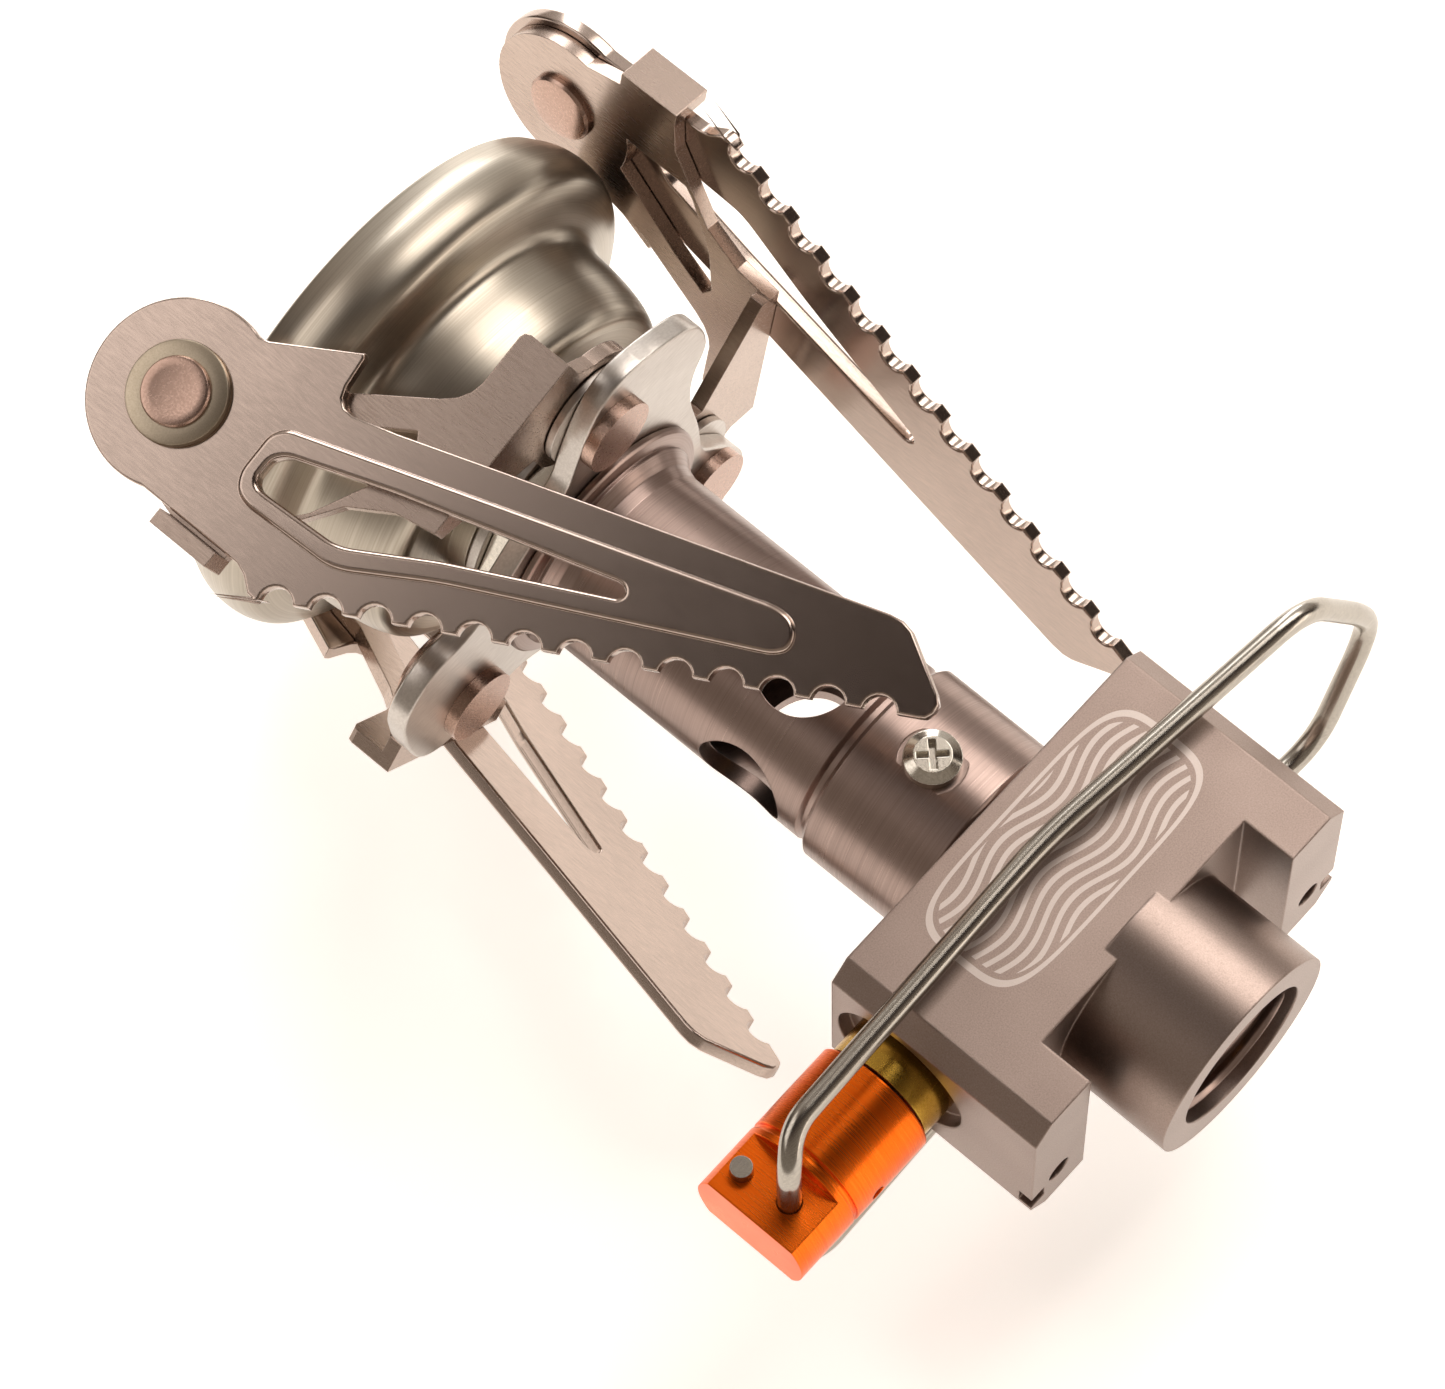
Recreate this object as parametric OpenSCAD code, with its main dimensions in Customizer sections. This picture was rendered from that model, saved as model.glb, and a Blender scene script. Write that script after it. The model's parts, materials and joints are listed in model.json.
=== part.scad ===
// Folding canister stove: valve block, mixing tube, burner and three folding pot supports.
// Origin: centre of the canister socket mouth. +Z runs up the stove axis to the burner.
// The engraved front face looks along -Y and the control knob points along -X. Millimetres.

/* [Overall] */
// Height of the burner rim's widest ring above the socket mouth
rim_z = 68.8; // [64:0.2:74]
// Radius of the burner rim at its widest ring
rim_r = 17.9; // [15:0.1:21]
// Height of the hub plate's underside above the socket mouth
hub_z = 52.2; // [48:0.2:55]

/* [Valve block] */
// Half length of the block along X
block_hx = 14.3; // [13:0.1:18]
// Half thickness of the block along Y
block_hy = 7; // [6.5:0.1:9]
// Top face of the block
block_top = 20.3; // [19.5:0.1:24]
// Underside of the two feet
foot_z = 4.3; // [3:0.1:6]
// Ceiling of the slot between the feet
slot_z = 8.1; // [7:0.1:9]
// Half width of the slot between the feet
slot_hx = 9.35; // [8.4:0.05:10.5]
// Chamfer on the block's four upright edges
block_chamfer = 1.4; // [0.4:0.1:2]
// Outside radius of the threaded socket
socket_r = 7.4; // [6.9:0.1:8.2]
// Wall radius of the 7/16-28 thread bore
thread_r = 5.25; // [5.1:0.05:5.6]
// Depth of the socket from its mouth to the ceiling
socket_depth = 10.2; // [9:0.1:11]

/* [Mixing tube] */
// Outside radius of the sleeve that sits on the block
sleeve_r = 7.15; // [6.9:0.05:8]
// Height of the ring groove between sleeve and tube
groove_z = 29.2; // [27.5:0.1:31]
// Outside radius of the mixing tube
tube_r = 6.65; // [6.2:0.05:7.2]
// Wall thickness of the mixing tube
tube_wall = 1.0; // [0.7:0.05:1.3]
// Radius of the four air holes
air_r = 3.25; // [2.4:0.05:3.6]
// Height of the air holes' centre
air_z = 34.6; // [33.5:0.1:38]
// Outside radius of the collar under the hub plate
collar_r = 8.6; // [8:0.1:9.6]
// Radius of the threaded neck above the hub plate
neck_r = 6.0; // [5.6:0.05:6.3]

/* [Pot supports] */
// Thickness of the steel hub plate
plate_t = 1.5; // [1:0.1:2.2]
// Radius of the circle the hub rivets stand on
hub_rivet_pcr = 12.83; // [12:0.05:14]
// Angle of the first hub rivet from the front, towards the knob
hub_rivet_az = -8.1; // [-20:0.1:5]
// Angle of the first arm's outward face from the front, towards the knob
arm_az = 17.9; // [10:0.1:25]
// Thickness of the link sheet
link_t = 1.0; // [0.7:0.05:1.4]
// Thickness of the blade sheet
blade_t = 1.0; // [0.7:0.05:1.4]
// Gap between the burner rim and the folded links
rim_gap = 0.3; // [0.3:0.05:1]
// Sideways place of the blade rivet, from the arm's middle line
rivet_s = 8.96; // [8.4:0.02:10.4]
// Height of the blade rivets
rivet_z = 72.2; // [70:0.1:76]
// Radius of the blade's round head
head_r = 6.0; // [5:0.1:6.5]
// Radius of the blade rivet's shank
rivet_r = 1.6; // [1.2:0.05:2]
// Radius of the hub rivet's shank
hub_rivet_r = 1.5; // [1.2:0.05:1.9]
// Running clearance round rivet shanks
run_gap = 0.05; // [0.03:0.01:0.1]
// Turn of a blade from the folded stop to the open stop
fold_deg = 240; // [230:1:245]
// Pitch of the serrations
tooth_pitch = 3.13; // [2.6:0.01:3.6]

/* [Knob and bail] */
// Height of the knob axis above the socket mouth
knob_z = 14.9; // [14:0.1:16]
// Radius of the knob
knob_r = 4.15; // [3.6:0.05:4.6]
// Distance of the knob's outer end from the stove axis
knob_end = 27.9; // [26:0.1:31]
// Length of the knob
knob_len = 11.3; // [10:0.1:12.5]
// Lean of the bail's legs, from bends beside its pin
bail_lean = 7; // [0:0.5:12]
// Radius of the steel wire
wire_r = 0.75; // [0.6:0.05:0.9]
// Half distance between the bail's two legs
bail_hy = 8.95; // [8.3:0.05:10]
// Reach of the bail's tip past the stove axis
bail_tip = 27.0; // [24:0.2:30]

/* [Hidden] */
$fn = 72;
e = 0.02;
wall_edge = rivet_s - 5.3;
wall_in = sqrt(rim_r * rim_r - wall_edge * wall_edge) + rim_gap;
wall_out = wall_in + link_t;
blade_in = wall_out + 0.05;
blade_out = blade_in + blade_t;
plate_top = hub_z + plate_t;
washer_t = 0.5;
flange_z = plate_top + washer_t + 0.1;
flange_top = flange_z + link_t;
hub_n = hub_rivet_pcr * cos(arm_az - hub_rivet_az);
hub_s = -hub_rivet_pcr * sin(arm_az - hub_rivet_az);
nut_z = plate_top + 0.05;
nut_t = 2.0;
spring_z = nut_z + nut_t + 0.05;
bowl_z = rim_z - 10.6;
pin_tip = socket_depth - 2.3;
hinge_x = -(knob_end - 2.35);
hinge_z = knob_z - 1.1;
stub_x = -(knob_end - 1.9);
stub_z = knob_z + 2.3;
tongue_y = 2.5;
stop_h = 3.9;
spindle_r = 1.45;
cut_dir = [cos(fold_deg), sin(fold_deg)];
cut_nrm = [cos(fold_deg - 90), sin(fold_deg - 90)];

anodised = [0.52, 0.43, 0.41];
steel = [0.66, 0.62, 0.58];
brass = [0.75, 0.6, 0.28];
orange = [0.95, 0.36, 0.05];
black = [0.08, 0.08, 0.08];

// A twelve-sided rod from a to b, run on past both ends by over.
module rod(a, b, r, over) {
  v = b - a;
  l = norm(v);
  translate(a)
    rotate([0, acos(v[2] / l), atan2(v[1], v[0])])
      translate([0, 0, -over])
        cylinder(h = l + 2 * over, r = r, $fn = 12);
}

// A wire of straight stretches through the points p.
module wire_path(p, r) {
  for (i = [0 : len(p) - 2])
    rod(p[i], p[i + 1], r, 0.2 * r);
}

// A ring of round section about Z.
module ring(R, r, z) {
  translate([0, 0, z])
    rotate_extrude($fn = 60)
      translate([R, 0])
        circle(r = r, $fn = 20);
}

// Places a child drawn in the arm's frame: X outward from the axis, Y sideways, Z up.
module arm(i) {
  rotate([0, 0, -90 - arm_az - 120 * [0, -1, 1][i - 1]])
    children();
}

// Stands a plate drawn as (sideways, height) upright in the arm's frame at distance n.
module upright(n, t) {
  translate([n, 0, 0])
    rotate([90, 0, 90])
      mirror([1, 0, 0])
        linear_extrude(height = t)
          children();
}

// A cylinder along X from x0 to x1 on the knob axis.
module along_x(x0, x1, r) {
  translate([x0, 0, knob_z])
    rotate([0, 90, 0])
      cylinder(h = x1 - x0, r = r);
}

module block_outline() {
  c = block_chamfer;
  polygon([[-block_hx, -block_hy + c], [-block_hx + c, -block_hy], [block_hx - c, -block_hy],
    [block_hx, -block_hy + c], [block_hx, block_hy - c], [block_hx - c, block_hy],
    [-block_hx + c, block_hy], [-block_hx, block_hy - c]]);
}

module valve_body() {
  color(anodised)
    difference() {
      union() {
        difference() {
          translate([0, 0, foot_z])
            linear_extrude(height = block_top - foot_z)
              block_outline();
          translate([-slot_hx, -20, 0])
            cube([2 * slot_hx, 40, slot_z]);
        }
        cylinder(h = slot_z + 1, r = socket_r);
        translate([0, 0, block_top - 1])
          cylinder(h = 6.7, r = tube_r - tube_wall - 0.25);
      }
      translate([0, 0, -1])
        cylinder(h = socket_depth + 1, r = thread_r);
      translate([0, 0, socket_depth - 2.4])
        cylinder(h = 1.7, r = thread_r + 0.75);
      cylinder(h = knob_z, r = 0.9);
      cylinder(h = socket_depth + 1.2, r = 2.2);
      along_x(-block_hx - 1, -4, 2.05);
      along_x(-block_hx - 1, -block_hx + 5.5, 3.3);
      along_x(-block_hx - 1, -block_hx + 1.0, 4.9);
      along_x(-5, 0, 0.8);
      translate([0, 0, knob_z])
        cylinder(h = 30, r = 0.7);
      translate([0, 0, block_top - 0.5])
        cylinder(h = 9, r = 2.6);
      for (a = [0, 180])
        rotate([0, 0, a])
          translate([0, 0, 24.7])
            rotate([90, 0, 0])
              cylinder(h = 12, r = 0.95, $fn = 32);
      for (s = [-1, 1])
        translate([s * (block_hx - 2.5), 3.4, foot_z - 1])
          cylinder(h = 2.6, r = 0.9, $fn = 24);
      for (s = [-1, 1])
        translate([s > 0 ? block_hx - 1.2 : -block_hx, block_hy - 3.2, foot_z - 1])
          cube([1.2, 1.4, 2.0]);
    }
}

module socket_oring() {
  color(black)
    ring(thread_r - 0.2, 0.72, socket_depth - 1.55);
}

module depressor_pin() {
  color(brass)
    difference() {
      union() {
        translate([0, 0, pin_tip])
          cylinder(h = socket_depth - pin_tip, r = 0.85, $fn = 32);
        translate([0, 0, socket_depth - 1.2])
          cylinder(h = 1.2, r = 1.9, $fn = 40);
      }
      translate([0, 2, pin_tip + 0.5])
        rotate([90, 0, 0])
          cylinder(h = 4, r = 0.25, $fn = 16);
    }
}

module inlet_filter() {
  color(brass)
    translate([0, 0, socket_depth + 0.05])
      cylinder(h = 1.1, r = 2.15, $fn = 40);
}

module jet() {
  color(brass)
    translate([0, 0, block_top - 0.4])
      difference() {
        union() {
          cylinder(h = 6.2, r = 2.5, $fn = 40);
          translate([0, 0, 6.2])
            cylinder(h = 2.2, r = 2.9, $fn = 6);
          translate([0, 0, 8.4])
            cylinder(h = 1.4, r1 = 1.6, r2 = 1.1, $fn = 40);
        }
        translate([0, 0, -1])
          cylinder(h = 10, r = 0.9, $fn = 24);
        cylinder(h = 12, r = 0.16, $fn = 16);
        translate([0, 0, 2])
          rotate_extrude($fn = 40)
            translate([2.0, 0])
              square([1, 1]);
      }
}

module jet_oring() {
  color(black)
    ring(2.28, 0.26, block_top + 2.1);
}

module gland_nut() {
  color(brass)
    difference() {
      union() {
        along_x(-block_hx - 2.0, -block_hx + 0.9, 3.75);
        along_x(-block_hx + 0.5, -block_hx + 5.2, 3.25);
      }
      along_x(-block_hx - 5, 0, spindle_r + run_gap);
    }
}

module spindle_oring() {
  color(black)
    translate([-block_hx + 6.1, 0, knob_z])
      rotate([0, 90, 0])
        rotate_extrude($fn = 40)
          translate([spindle_r + run_gap + 0.26, 0])
            circle(r = 0.26, $fn = 16);
}

module mixing_tube() {
  ir = tube_r - tube_wall;
  z0 = block_top + 0.03;
  color(anodised)
    difference() {
      rotate_extrude($fn = 96)
        polygon([[ir, z0], [sleeve_r - 0.25, z0], [sleeve_r, z0 + 0.25], [sleeve_r, groove_z - 0.3],
          [sleeve_r - 0.3, groove_z], [tube_r - 0.3, groove_z], [tube_r - 0.3, groove_z + 0.5],
          [tube_r, groove_z + 0.8], [tube_r, hub_z - 2.6], [tube_r + 0.25, hub_z - 1.8],
          [tube_r + 0.9, hub_z - 1.0], [tube_r + 0.9, hub_z - 0.75], [collar_r - 0.15, hub_z - 0.6],
          [collar_r, hub_z - 0.45], [collar_r, hub_z - 0.15], [collar_r - 0.15, hub_z], [neck_r, hub_z],
          [neck_r, bowl_z + 1.3], [neck_r - 0.7, bowl_z + 1.3], [neck_r - 0.7, hub_z - 3], [ir, hub_z - 4]]);
      for (a = [0 : 90 : 270])
        rotate([0, 0, a])
          translate([0, 0, air_z])
            rotate([90, 0, 0])
              cylinder(h = 12, r = air_r);
      for (a = [0, 180])
        rotate([0, 0, a])
          translate([0, 0, 24.7])
            rotate([90, 0, 0])
              cylinder(h = 12, r = 1.05, $fn = 32);
      translate([0, -sleeve_r - 0.35, 24.7])
        rotate([90, 0, 0])
          cylinder(h = 1.0, r = 2.2, center = true, $fn = 40);
      translate([0, sleeve_r + 0.35, 24.7])
        rotate([90, 0, 0])
          cylinder(h = 1.0, r = 2.2, center = true, $fn = 40);
    }
}

module tube_screws() {
  color(steel)
    for (a = [0, 180])
      rotate([0, 0, a])
        translate([0, -sleeve_r + 0.15, 24.7])
          rotate([90, 0, 0])
            difference() {
              union() {
                translate([0, 0, 0.02])
                  cylinder(h = 0.7, r = 1.82, $fn = 48);
                translate([0, 0, 0.7])
                  cylinder(h = 0.45, r1 = 1.82, r2 = 1.2, $fn = 48);
                translate([0, 0, -3.9])
                  cylinder(h = 4, r = 0.9, $fn = 32);
              }
              for (b = [0, 90])
                rotate([0, 0, b + 45])
                  translate([-1, -0.22, 0.45])
                    cube([2, 0.44, 2]);
            }
}

// Outline of one ear as radius and angle from the front, its rivet at ear_az.
ear_az = -8.1;
ear = [[10.4, 12], [12.9, 4.5], [14.9, 0], [16.6, -4.5], [17.5, -9], [17.8, -14], [17.8, -31],
  [17.3, -36], [16.2, -41], [15.2, -44.6], [14.3, -46.2], [13.3, -47], [12.0, -50], [10.9, -56],
  [10.2, -63], [9.8, -72], [9.7, -84], [9.8, -96]];

module hub_plate() {
  pts = [for (k = [0 : 2]) for (p = ear) let (a = p[1] + hub_rivet_az - ear_az - 120 * k)
    [-p[0] * sin(a), -p[0] * cos(a)]];
  color(steel)
    difference() {
      translate([0, 0, hub_z + 0.02])
        linear_extrude(height = plate_t - 0.02)
          polygon(pts);
      translate([0, 0, hub_z - 1])
        cylinder(h = 5, r = neck_r + 0.05);
      for (i = [1 : 3])
        arm(i)
          translate([hub_n, -hub_s, hub_z - 1])
            cylinder(h = 5, r = hub_rivet_r + 0.01, $fn = 40);
    }
}

module lock_nut() {
  color(steel)
    difference() {
      translate([0, 0, nut_z])
        cylinder(h = nut_t, r = 7.8, $fn = 6);
      translate([0, 0, nut_z - 1])
        cylinder(h = nut_t + 2, r = neck_r + 0.04);
    }
}

module spring_washer() {
  color(steel)
    difference() {
      translate([0, 0, spring_z])
        cylinder(h = 0.7, r = 7.5);
      translate([0, 0, spring_z - 1])
        cylinder(h = 3, r = neck_r + 0.04);
    }
}

// Bowl wall as radius and height above its flat bottom, outside then inside.
module burner_bowl() {
  k = rim_r / 17.9;
  color(steel)
    translate([0, 0, bowl_z])
      rotate_extrude($fn = 120)
        polygon([[neck_r + 0.04, -1.55], [7.2, -1.55], [7.2, 0], [11.6, 0], [12.2, 0.12], [12.65, 0.45],
          [12.95, 0.95], [13.25, 1.8], [13.5, 2.9], [13.7, 4.3], [13.8, 5.6], [13.9, 6.2], [14.15, 6.6],
          [14.6, 6.9], [15.6, 7.2], [16.6 * k, 7.55], [17.3 * k, 8.0], [17.7 * k, 8.7],
          [rim_r, 9.6], [rim_r, 10.6], [17.7 * k, 11.5], [17.3 * k, 12.4], [17.0 * k, 12.95],
          [16.7 * k, 13.1], [16.4 * k, 13.0], [16.3 * k, 12.6], [16.75 * k, 11.4],
          [17.0 * k, 10.4], [16.9 * k, 9.4], [16.5 * k, 8.6], [15.6, 8.1], [14.2, 7.65], [13.4, 7.2],
          [13.1, 6.6], [13.0, 5.6], [12.9, 4.3], [12.7, 2.9], [12.4, 1.8], [12.0, 1.1], [11.5, 0.8],
          [neck_r + 0.04, 0.8]]);
}

module burner_cap() {
  k = rim_r / 17.9;
  color(steel)
    translate([0, 0, bowl_z])
      difference() {
        rotate_extrude($fn = 96)
          polygon([[1.05, 10.6], [4, 10.6], [6, 11.2], [10, 11.7], [13.5, 11.2], [15.4 * k, 9.9],
            [15.75 * k, 8.9], [15.3, 8.3], [14.2, 7.9], [12.6, 7.4], [12.2, 6.4], [12.9, 6.4], [13.3, 7.25],
            [14.2, 7.7], [15.4, 8.12], [16.2 * k, 8.7], [16.05 * k, 10.0], [13.8, 11.8], [10, 12.3],
            [6, 11.8], [4, 11.2], [1.05, 11.2]]);
        for (q = [[5.2, 10], [7.6, 14], [10.0, 18], [12.4, 24]])
          for (i = [0 : q[1] - 1])
            rotate([0, 0, i * 360 / q[1] + q[0]])
              translate([q[0], 0, 9])
                cylinder(h = 5, r = 0.45, $fn = 14);
      }
}

module burner_gauze() {
  color(steel)
    translate([0, 0, bowl_z + 6.9])
      difference() {
        cylinder(h = 0.25, r = 12.25);
        translate([0, 0, -1])
          cylinder(h = 3, r = 1.05, $fn = 32);
      }
}

module cap_rivet() {
  color(steel)
    translate([0, 0, bowl_z])
      difference() {
        union() {
          translate([0, 0, 6.2])
            cylinder(h = 5.0, r = 1.0, $fn = 32);
          translate([0, 0, 11.22])
            cylinder(h = 0.6, r = 2.2, $fn = 40);
          translate([0, 0, 6.2])
            cylinder(h = 0.68, r = 2.2, $fn = 40);
        }
        translate([0, 0, 5])
          cylinder(h = 4, r = 0.4, $fn = 20);
      }
}

module hub_rivets() {
  color(steel)
    for (i = [1 : 3])
      arm(i)
        translate([hub_n, -hub_s, 0]) {
          translate([0, 0, hub_z - 0.85])
            cylinder(h = 0.86, r = 2.6, $fn = 48);
          translate([0, 0, hub_z - 0.4])
            cylinder(h = flange_top - hub_z + 0.9, r = hub_rivet_r, $fn = 48);
          translate([0, 0, flange_top + run_gap])
            cylinder(h = 0.75, r = 2.7, $fn = 48);
        }
}

module hub_washers() {
  color(steel)
    for (i = [1 : 3])
      arm(i)
        translate([hub_n, -hub_s, plate_top + 0.02])
          difference() {
            cylinder(h = washer_t, r = 3.6, $fn = 60);
            translate([0, 0, -1])
              cylinder(h = 3, r = hub_rivet_r + 0.01, $fn = 40);
          }
}

// Link wall outline as (sideways, height) from the blade rivet.
function wall_outline() = [[-4.9, 1.8], [-5.15, -1.0], [-5.3, -4.5], [-6.3, -7.8], [-9.6, -12.8],
  [-10.3, -13.6], [-11.1, -14.1], [-11.9, -14.3], [-15.5, -14.3], [-15.85, -14.45], [-16.0, -14.8],
  [-16.0, flange_z - rivet_z], [-3.1, flange_z - rivet_z], [-2.6, -15.1], [-1.0, -12.4],
  [3.8, -8.9], [6.0, -8.5], [6.0, -4.0], [5.15, -0.9], [4.9, 1.8]];

module link_body(i) {
  color(steel)
    arm(i)
      difference() {
        union() {
          upright(wall_in, link_t)
            translate([rivet_s, rivet_z])
              difference() {
                polygon(wall_outline());
                polygon([[0.7, -4.6], [1.5, -5.1], [1.4, -10.2], [0.6, -10.9], [-3.2, -12.9], [-6.4, -13.6],
                  [-7.3, -13.0], [-5.6, -10.3], [-1.5, -4.9], [-0.6, -4.4]]);
              }
          translate([wall_in, -rivet_s, rivet_z])
            rotate([0, 90, 0])
              cylinder(h = link_t, r = head_r - 0.6);
          translate([wall_in, -rivet_s - 7.05, rivet_z - 8.5])
            cube([blade_out + 0.9 - wall_in, 1.05, 8.5 - stop_h - 0.05]);
          translate([0, 0, flange_z])
            linear_extrude(height = link_t)
              polygon([[wall_out, -rivet_s + 16.0], [wall_out, -rivet_s + 3.1], [wall_out - 1.6, -rivet_s + 3.1],
                [hub_n + 1.2, -hub_s - 4.22], [hub_n - 1.5, -hub_s - 3.3], [hub_n - 1.5, -hub_s + 3.3],
                [hub_n + 1.0, -hub_s + 4.28], [wall_out - 2.2, -rivet_s + 16.0]]);
          translate([hub_n, -hub_s, flange_z])
            cylinder(h = link_t, r = 4.4);
        }
        translate([hub_n, -hub_s, flange_z - 1])
          cylinder(h = 3, r = hub_rivet_r + run_gap, $fn = 48);
        translate([wall_in - 1, -rivet_s, rivet_z])
          rotate([0, 90, 0])
            cylinder(h = 3, r = rivet_r + 0.01, $fn = 48);
      }
}

module link_1() {
  link_body(1);
}

module link_2() {
  link_body(2);
}

module link_3() {
  link_body(3);
}

// Blade outline as (sideways, height) from its rivet, folded.
function cut_at(t) = stop_h * cut_nrm + t * cut_dir;
function blade_outline() = [[-5.0, 1.5], cut_at(5.0), cut_at(10.9), [-8.95, -7.65], [-8.6, -7.85],
  [-6.7, -8.05], [-6.0, -8.3], [-5.6, -8.8], [-5.55, -9.5], [-6.4, -12.5], [-8.6, -19.2], [-16.3, -43.2],
  [-16.45, -44.1], [-16.3, -44.9], [-14.35, -48.4], [-13.9, -48.9], [-13.3, -49.0], [-12.8, -48.8],
  [-12.6, -48.5], [6.3, -12.6], [6.75, -11.9], [6.7, -11.3], [6.0, -10.4], [5.7, -9.6], [5.7, -1.0], [5.0, 1.5]];
tooth_dir = [0.466, 0.885];
tooth_n = [0.885, -0.466];

module blade_slot() {
  polygon([[-0.5, -7.3], [0.9, -7.3], [1.35, -7.7], [1.4, -8.3], [1.1, -13.6], [0.8, -14.5],
    [-2.1, -19.6], [-7.0, -29.7], [-7.4, -29.9], [-7.75, -29.6], [-7.8, -29.1],
    [-3.6, -14.9], [-1.2, -8.0]]);
}

// The raised border round the slot.
module blade_border() {
  polygon([[-1.6, -6.2], [1.3, -6.2], [2.3, -6.8], [2.65, -7.8], [2.4, -14.2], [2.0, -15.3],
    [-1.0, -20.4], [-10.1, -39.2], [-10.9, -39.9], [-11.9, -39.6], [-12.5, -38.8],
    [-12.5, -37.6], [-2.5, -6.9]]);
}

module blade_body(i) {
  color(steel)
    arm(i)
      translate([0, -rivet_s, rivet_z])
        difference() {
          union() {
            upright(blade_in, blade_t)
              polygon(blade_outline());
            translate([blade_in, 0, 0])
              rotate([0, 90, 0])
                cylinder(h = blade_t, r = head_r);
            upright(blade_out - 0.3, 0.65)
              blade_border();
          }
          upright(blade_in - 1, blade_t + 3)
            blade_slot();
          translate([blade_in - 1, 0, 0])
            rotate([0, 90, 0])
              cylinder(h = blade_t + 3, r = rivet_r + run_gap, $fn = 48);
          for (k = [-4 : 8])
            translate([blade_in - 1, -(-5.6 + k * tooth_pitch * tooth_dir[0] + 0.1 * tooth_n[0]),
              -35.25 + k * tooth_pitch * tooth_dir[1] + 0.1 * tooth_n[1]])
              rotate([0, 90, 0])
                cylinder(h = blade_t + 2, r = 1.08, $fn = 32);
        }
}

module blade_1() {
  blade_body(1);
}

module blade_2() {
  blade_body(2);
}

module blade_3() {
  blade_body(3);
}

module blade_rivet(i) {
  color(steel)
    arm(i)
      translate([0, -rivet_s, rivet_z])
        rotate([0, 90, 0]) {
          translate([0, 0, wall_in - 0.6])
            cylinder(h = 0.59, r = 2.4, $fn = 48);
          translate([0, 0, wall_in - 0.3])
            cylinder(h = blade_out + 0.5 - wall_in, r = rivet_r, $fn = 48);
          translate([0, 0, blade_out + 0.05])
            cylinder(h = 0.55, r1 = 3.3, r2 = 3.0, $fn = 60);
          translate([0, 0, blade_out + 0.5])
            cylinder(h = 0.45, r1 = 2.25, r2 = 2.05, $fn = 48);
        }
}

module blade_rivet_1() {
  blade_rivet(1);
}

module blade_rivet_2() {
  blade_rivet(2);
}

module blade_rivet_3() {
  blade_rivet(3);
}

module control_knob() {
  x0 = -knob_end;
  x1 = -knob_end + knob_len;
  color(orange)
    difference() {
      along_x(x0, x1, knob_r);
      along_x(x1 - 2.0, x1 + 1, knob_r - 0.35);
      along_x(x1 - 6.5, x1 + 1, spindle_r + 0.01);
      translate([x0 - 1, -knob_r - 1, knob_z - knob_r - 1])
        cube([5.2, knob_r + 1 - tongue_y, 2 * knob_r + 2]);
      translate([x0 - 1, tongue_y, knob_z - knob_r - 1])
        cube([5.2, knob_r + 1, 2 * knob_r + 2]);
      translate([x0 + 4.7, 0, knob_z])
        rotate([0, 90, 0])
          rotate_extrude($fn = 60)
            translate([knob_r - 0.25, 0])
              square([1, 0.4]);
      translate([hinge_x, -10, hinge_z])
        rotate([-90, 0, 0])
          cylinder(h = 20, r = wire_r + run_gap, $fn = 40);
      translate([stub_x, -10, stub_z])
        rotate([-90, 0, 0])
          cylinder(h = 20, r = wire_r - 0.04, $fn = 40);
      translate([x1 - 4.4, 0, knob_z - 6])
        cylinder(h = 12, r = 0.5, $fn = 24);
    }
}

module needle_spindle() {
  x1 = -knob_end + knob_len;
  color(steel)
    difference() {
      union() {
        along_x(x1 - 6.4, -5.3, spindle_r);
        translate([-5.3, 0, knob_z])
          rotate([0, 90, 0])
            cylinder(h = 2.2, r1 = spindle_r, r2 = 0.2, $fn = 40);
      }
      translate([x1 - 4.4, 0, knob_z - 6])
        cylinder(h = 12, r = 0.5, $fn = 24);
    }
}

module knob_pin() {
  x1 = -knob_end + knob_len;
  color(steel)
    translate([x1 - 4.4, 0, knob_z - knob_r + 0.2])
      cylinder(h = 2 * knob_r - 0.4, r = 0.49, $fn = 24);
}

module bail_stub() {
  color(steel)
    translate([stub_x, -tongue_y - 0.9, stub_z])
      rotate([-90, 0, 0])
        cylinder(h = 2 * tongue_y + 0.9, r = wire_r - 0.05, $fn = 40);
}

// A point of the bail's legs, leaned about the knob axis.
function leaned(x, y, z) = [x, y * cos(bail_lean) + (z - knob_z) * sin(bail_lean),
  knob_z - y * sin(bail_lean) + (z - knob_z) * cos(bail_lean)];

// Half of the bail, from its pin in the knob to the tip, on side s.
function bail_half(s) = [[hinge_x, s * 0.25, hinge_z], [hinge_x, s * (bail_hy - 2.4), hinge_z],
  leaned(hinge_x + 0.6, s * (bail_hy - 0.8), hinge_z + 0.1),
  leaned(hinge_x + 2.3, s * bail_hy, hinge_z + 0.35),
  leaned(0, s * bail_hy, knob_z - 0.1), leaned(bail_tip - 5.8, s * bail_hy, knob_z - 2.3),
  leaned(bail_tip - 4.3, s * (bail_hy - 1.4), knob_z - 2.5), leaned(bail_tip - 0.9, s * 2.0, knob_z - 2.6)];

module wire_bail() {
  front = bail_half(-1);
  rear = bail_half(1);
  n = len(rear);
  path = concat(front, [leaned(bail_tip, 0, knob_z - 2.6)], [for (i = [1 : n]) rear[n - i]]);
  color(steel)
    wire_path(path, wire_r);
}

valve_body();
socket_oring();
depressor_pin();
inlet_filter();
jet();
jet_oring();
gland_nut();
spindle_oring();
mixing_tube();
tube_screws();
hub_plate();
lock_nut();
spring_washer();
burner_bowl();
burner_cap();
burner_gauze();
cap_rivet();
hub_rivets();
hub_washers();
link_1();
link_2();
link_3();
blade_1();
blade_2();
blade_3();
blade_rivet_1();
blade_rivet_2();
blade_rivet_3();
control_knob();
needle_spindle();
knob_pin();
bail_stub();
wire_bail();
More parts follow.
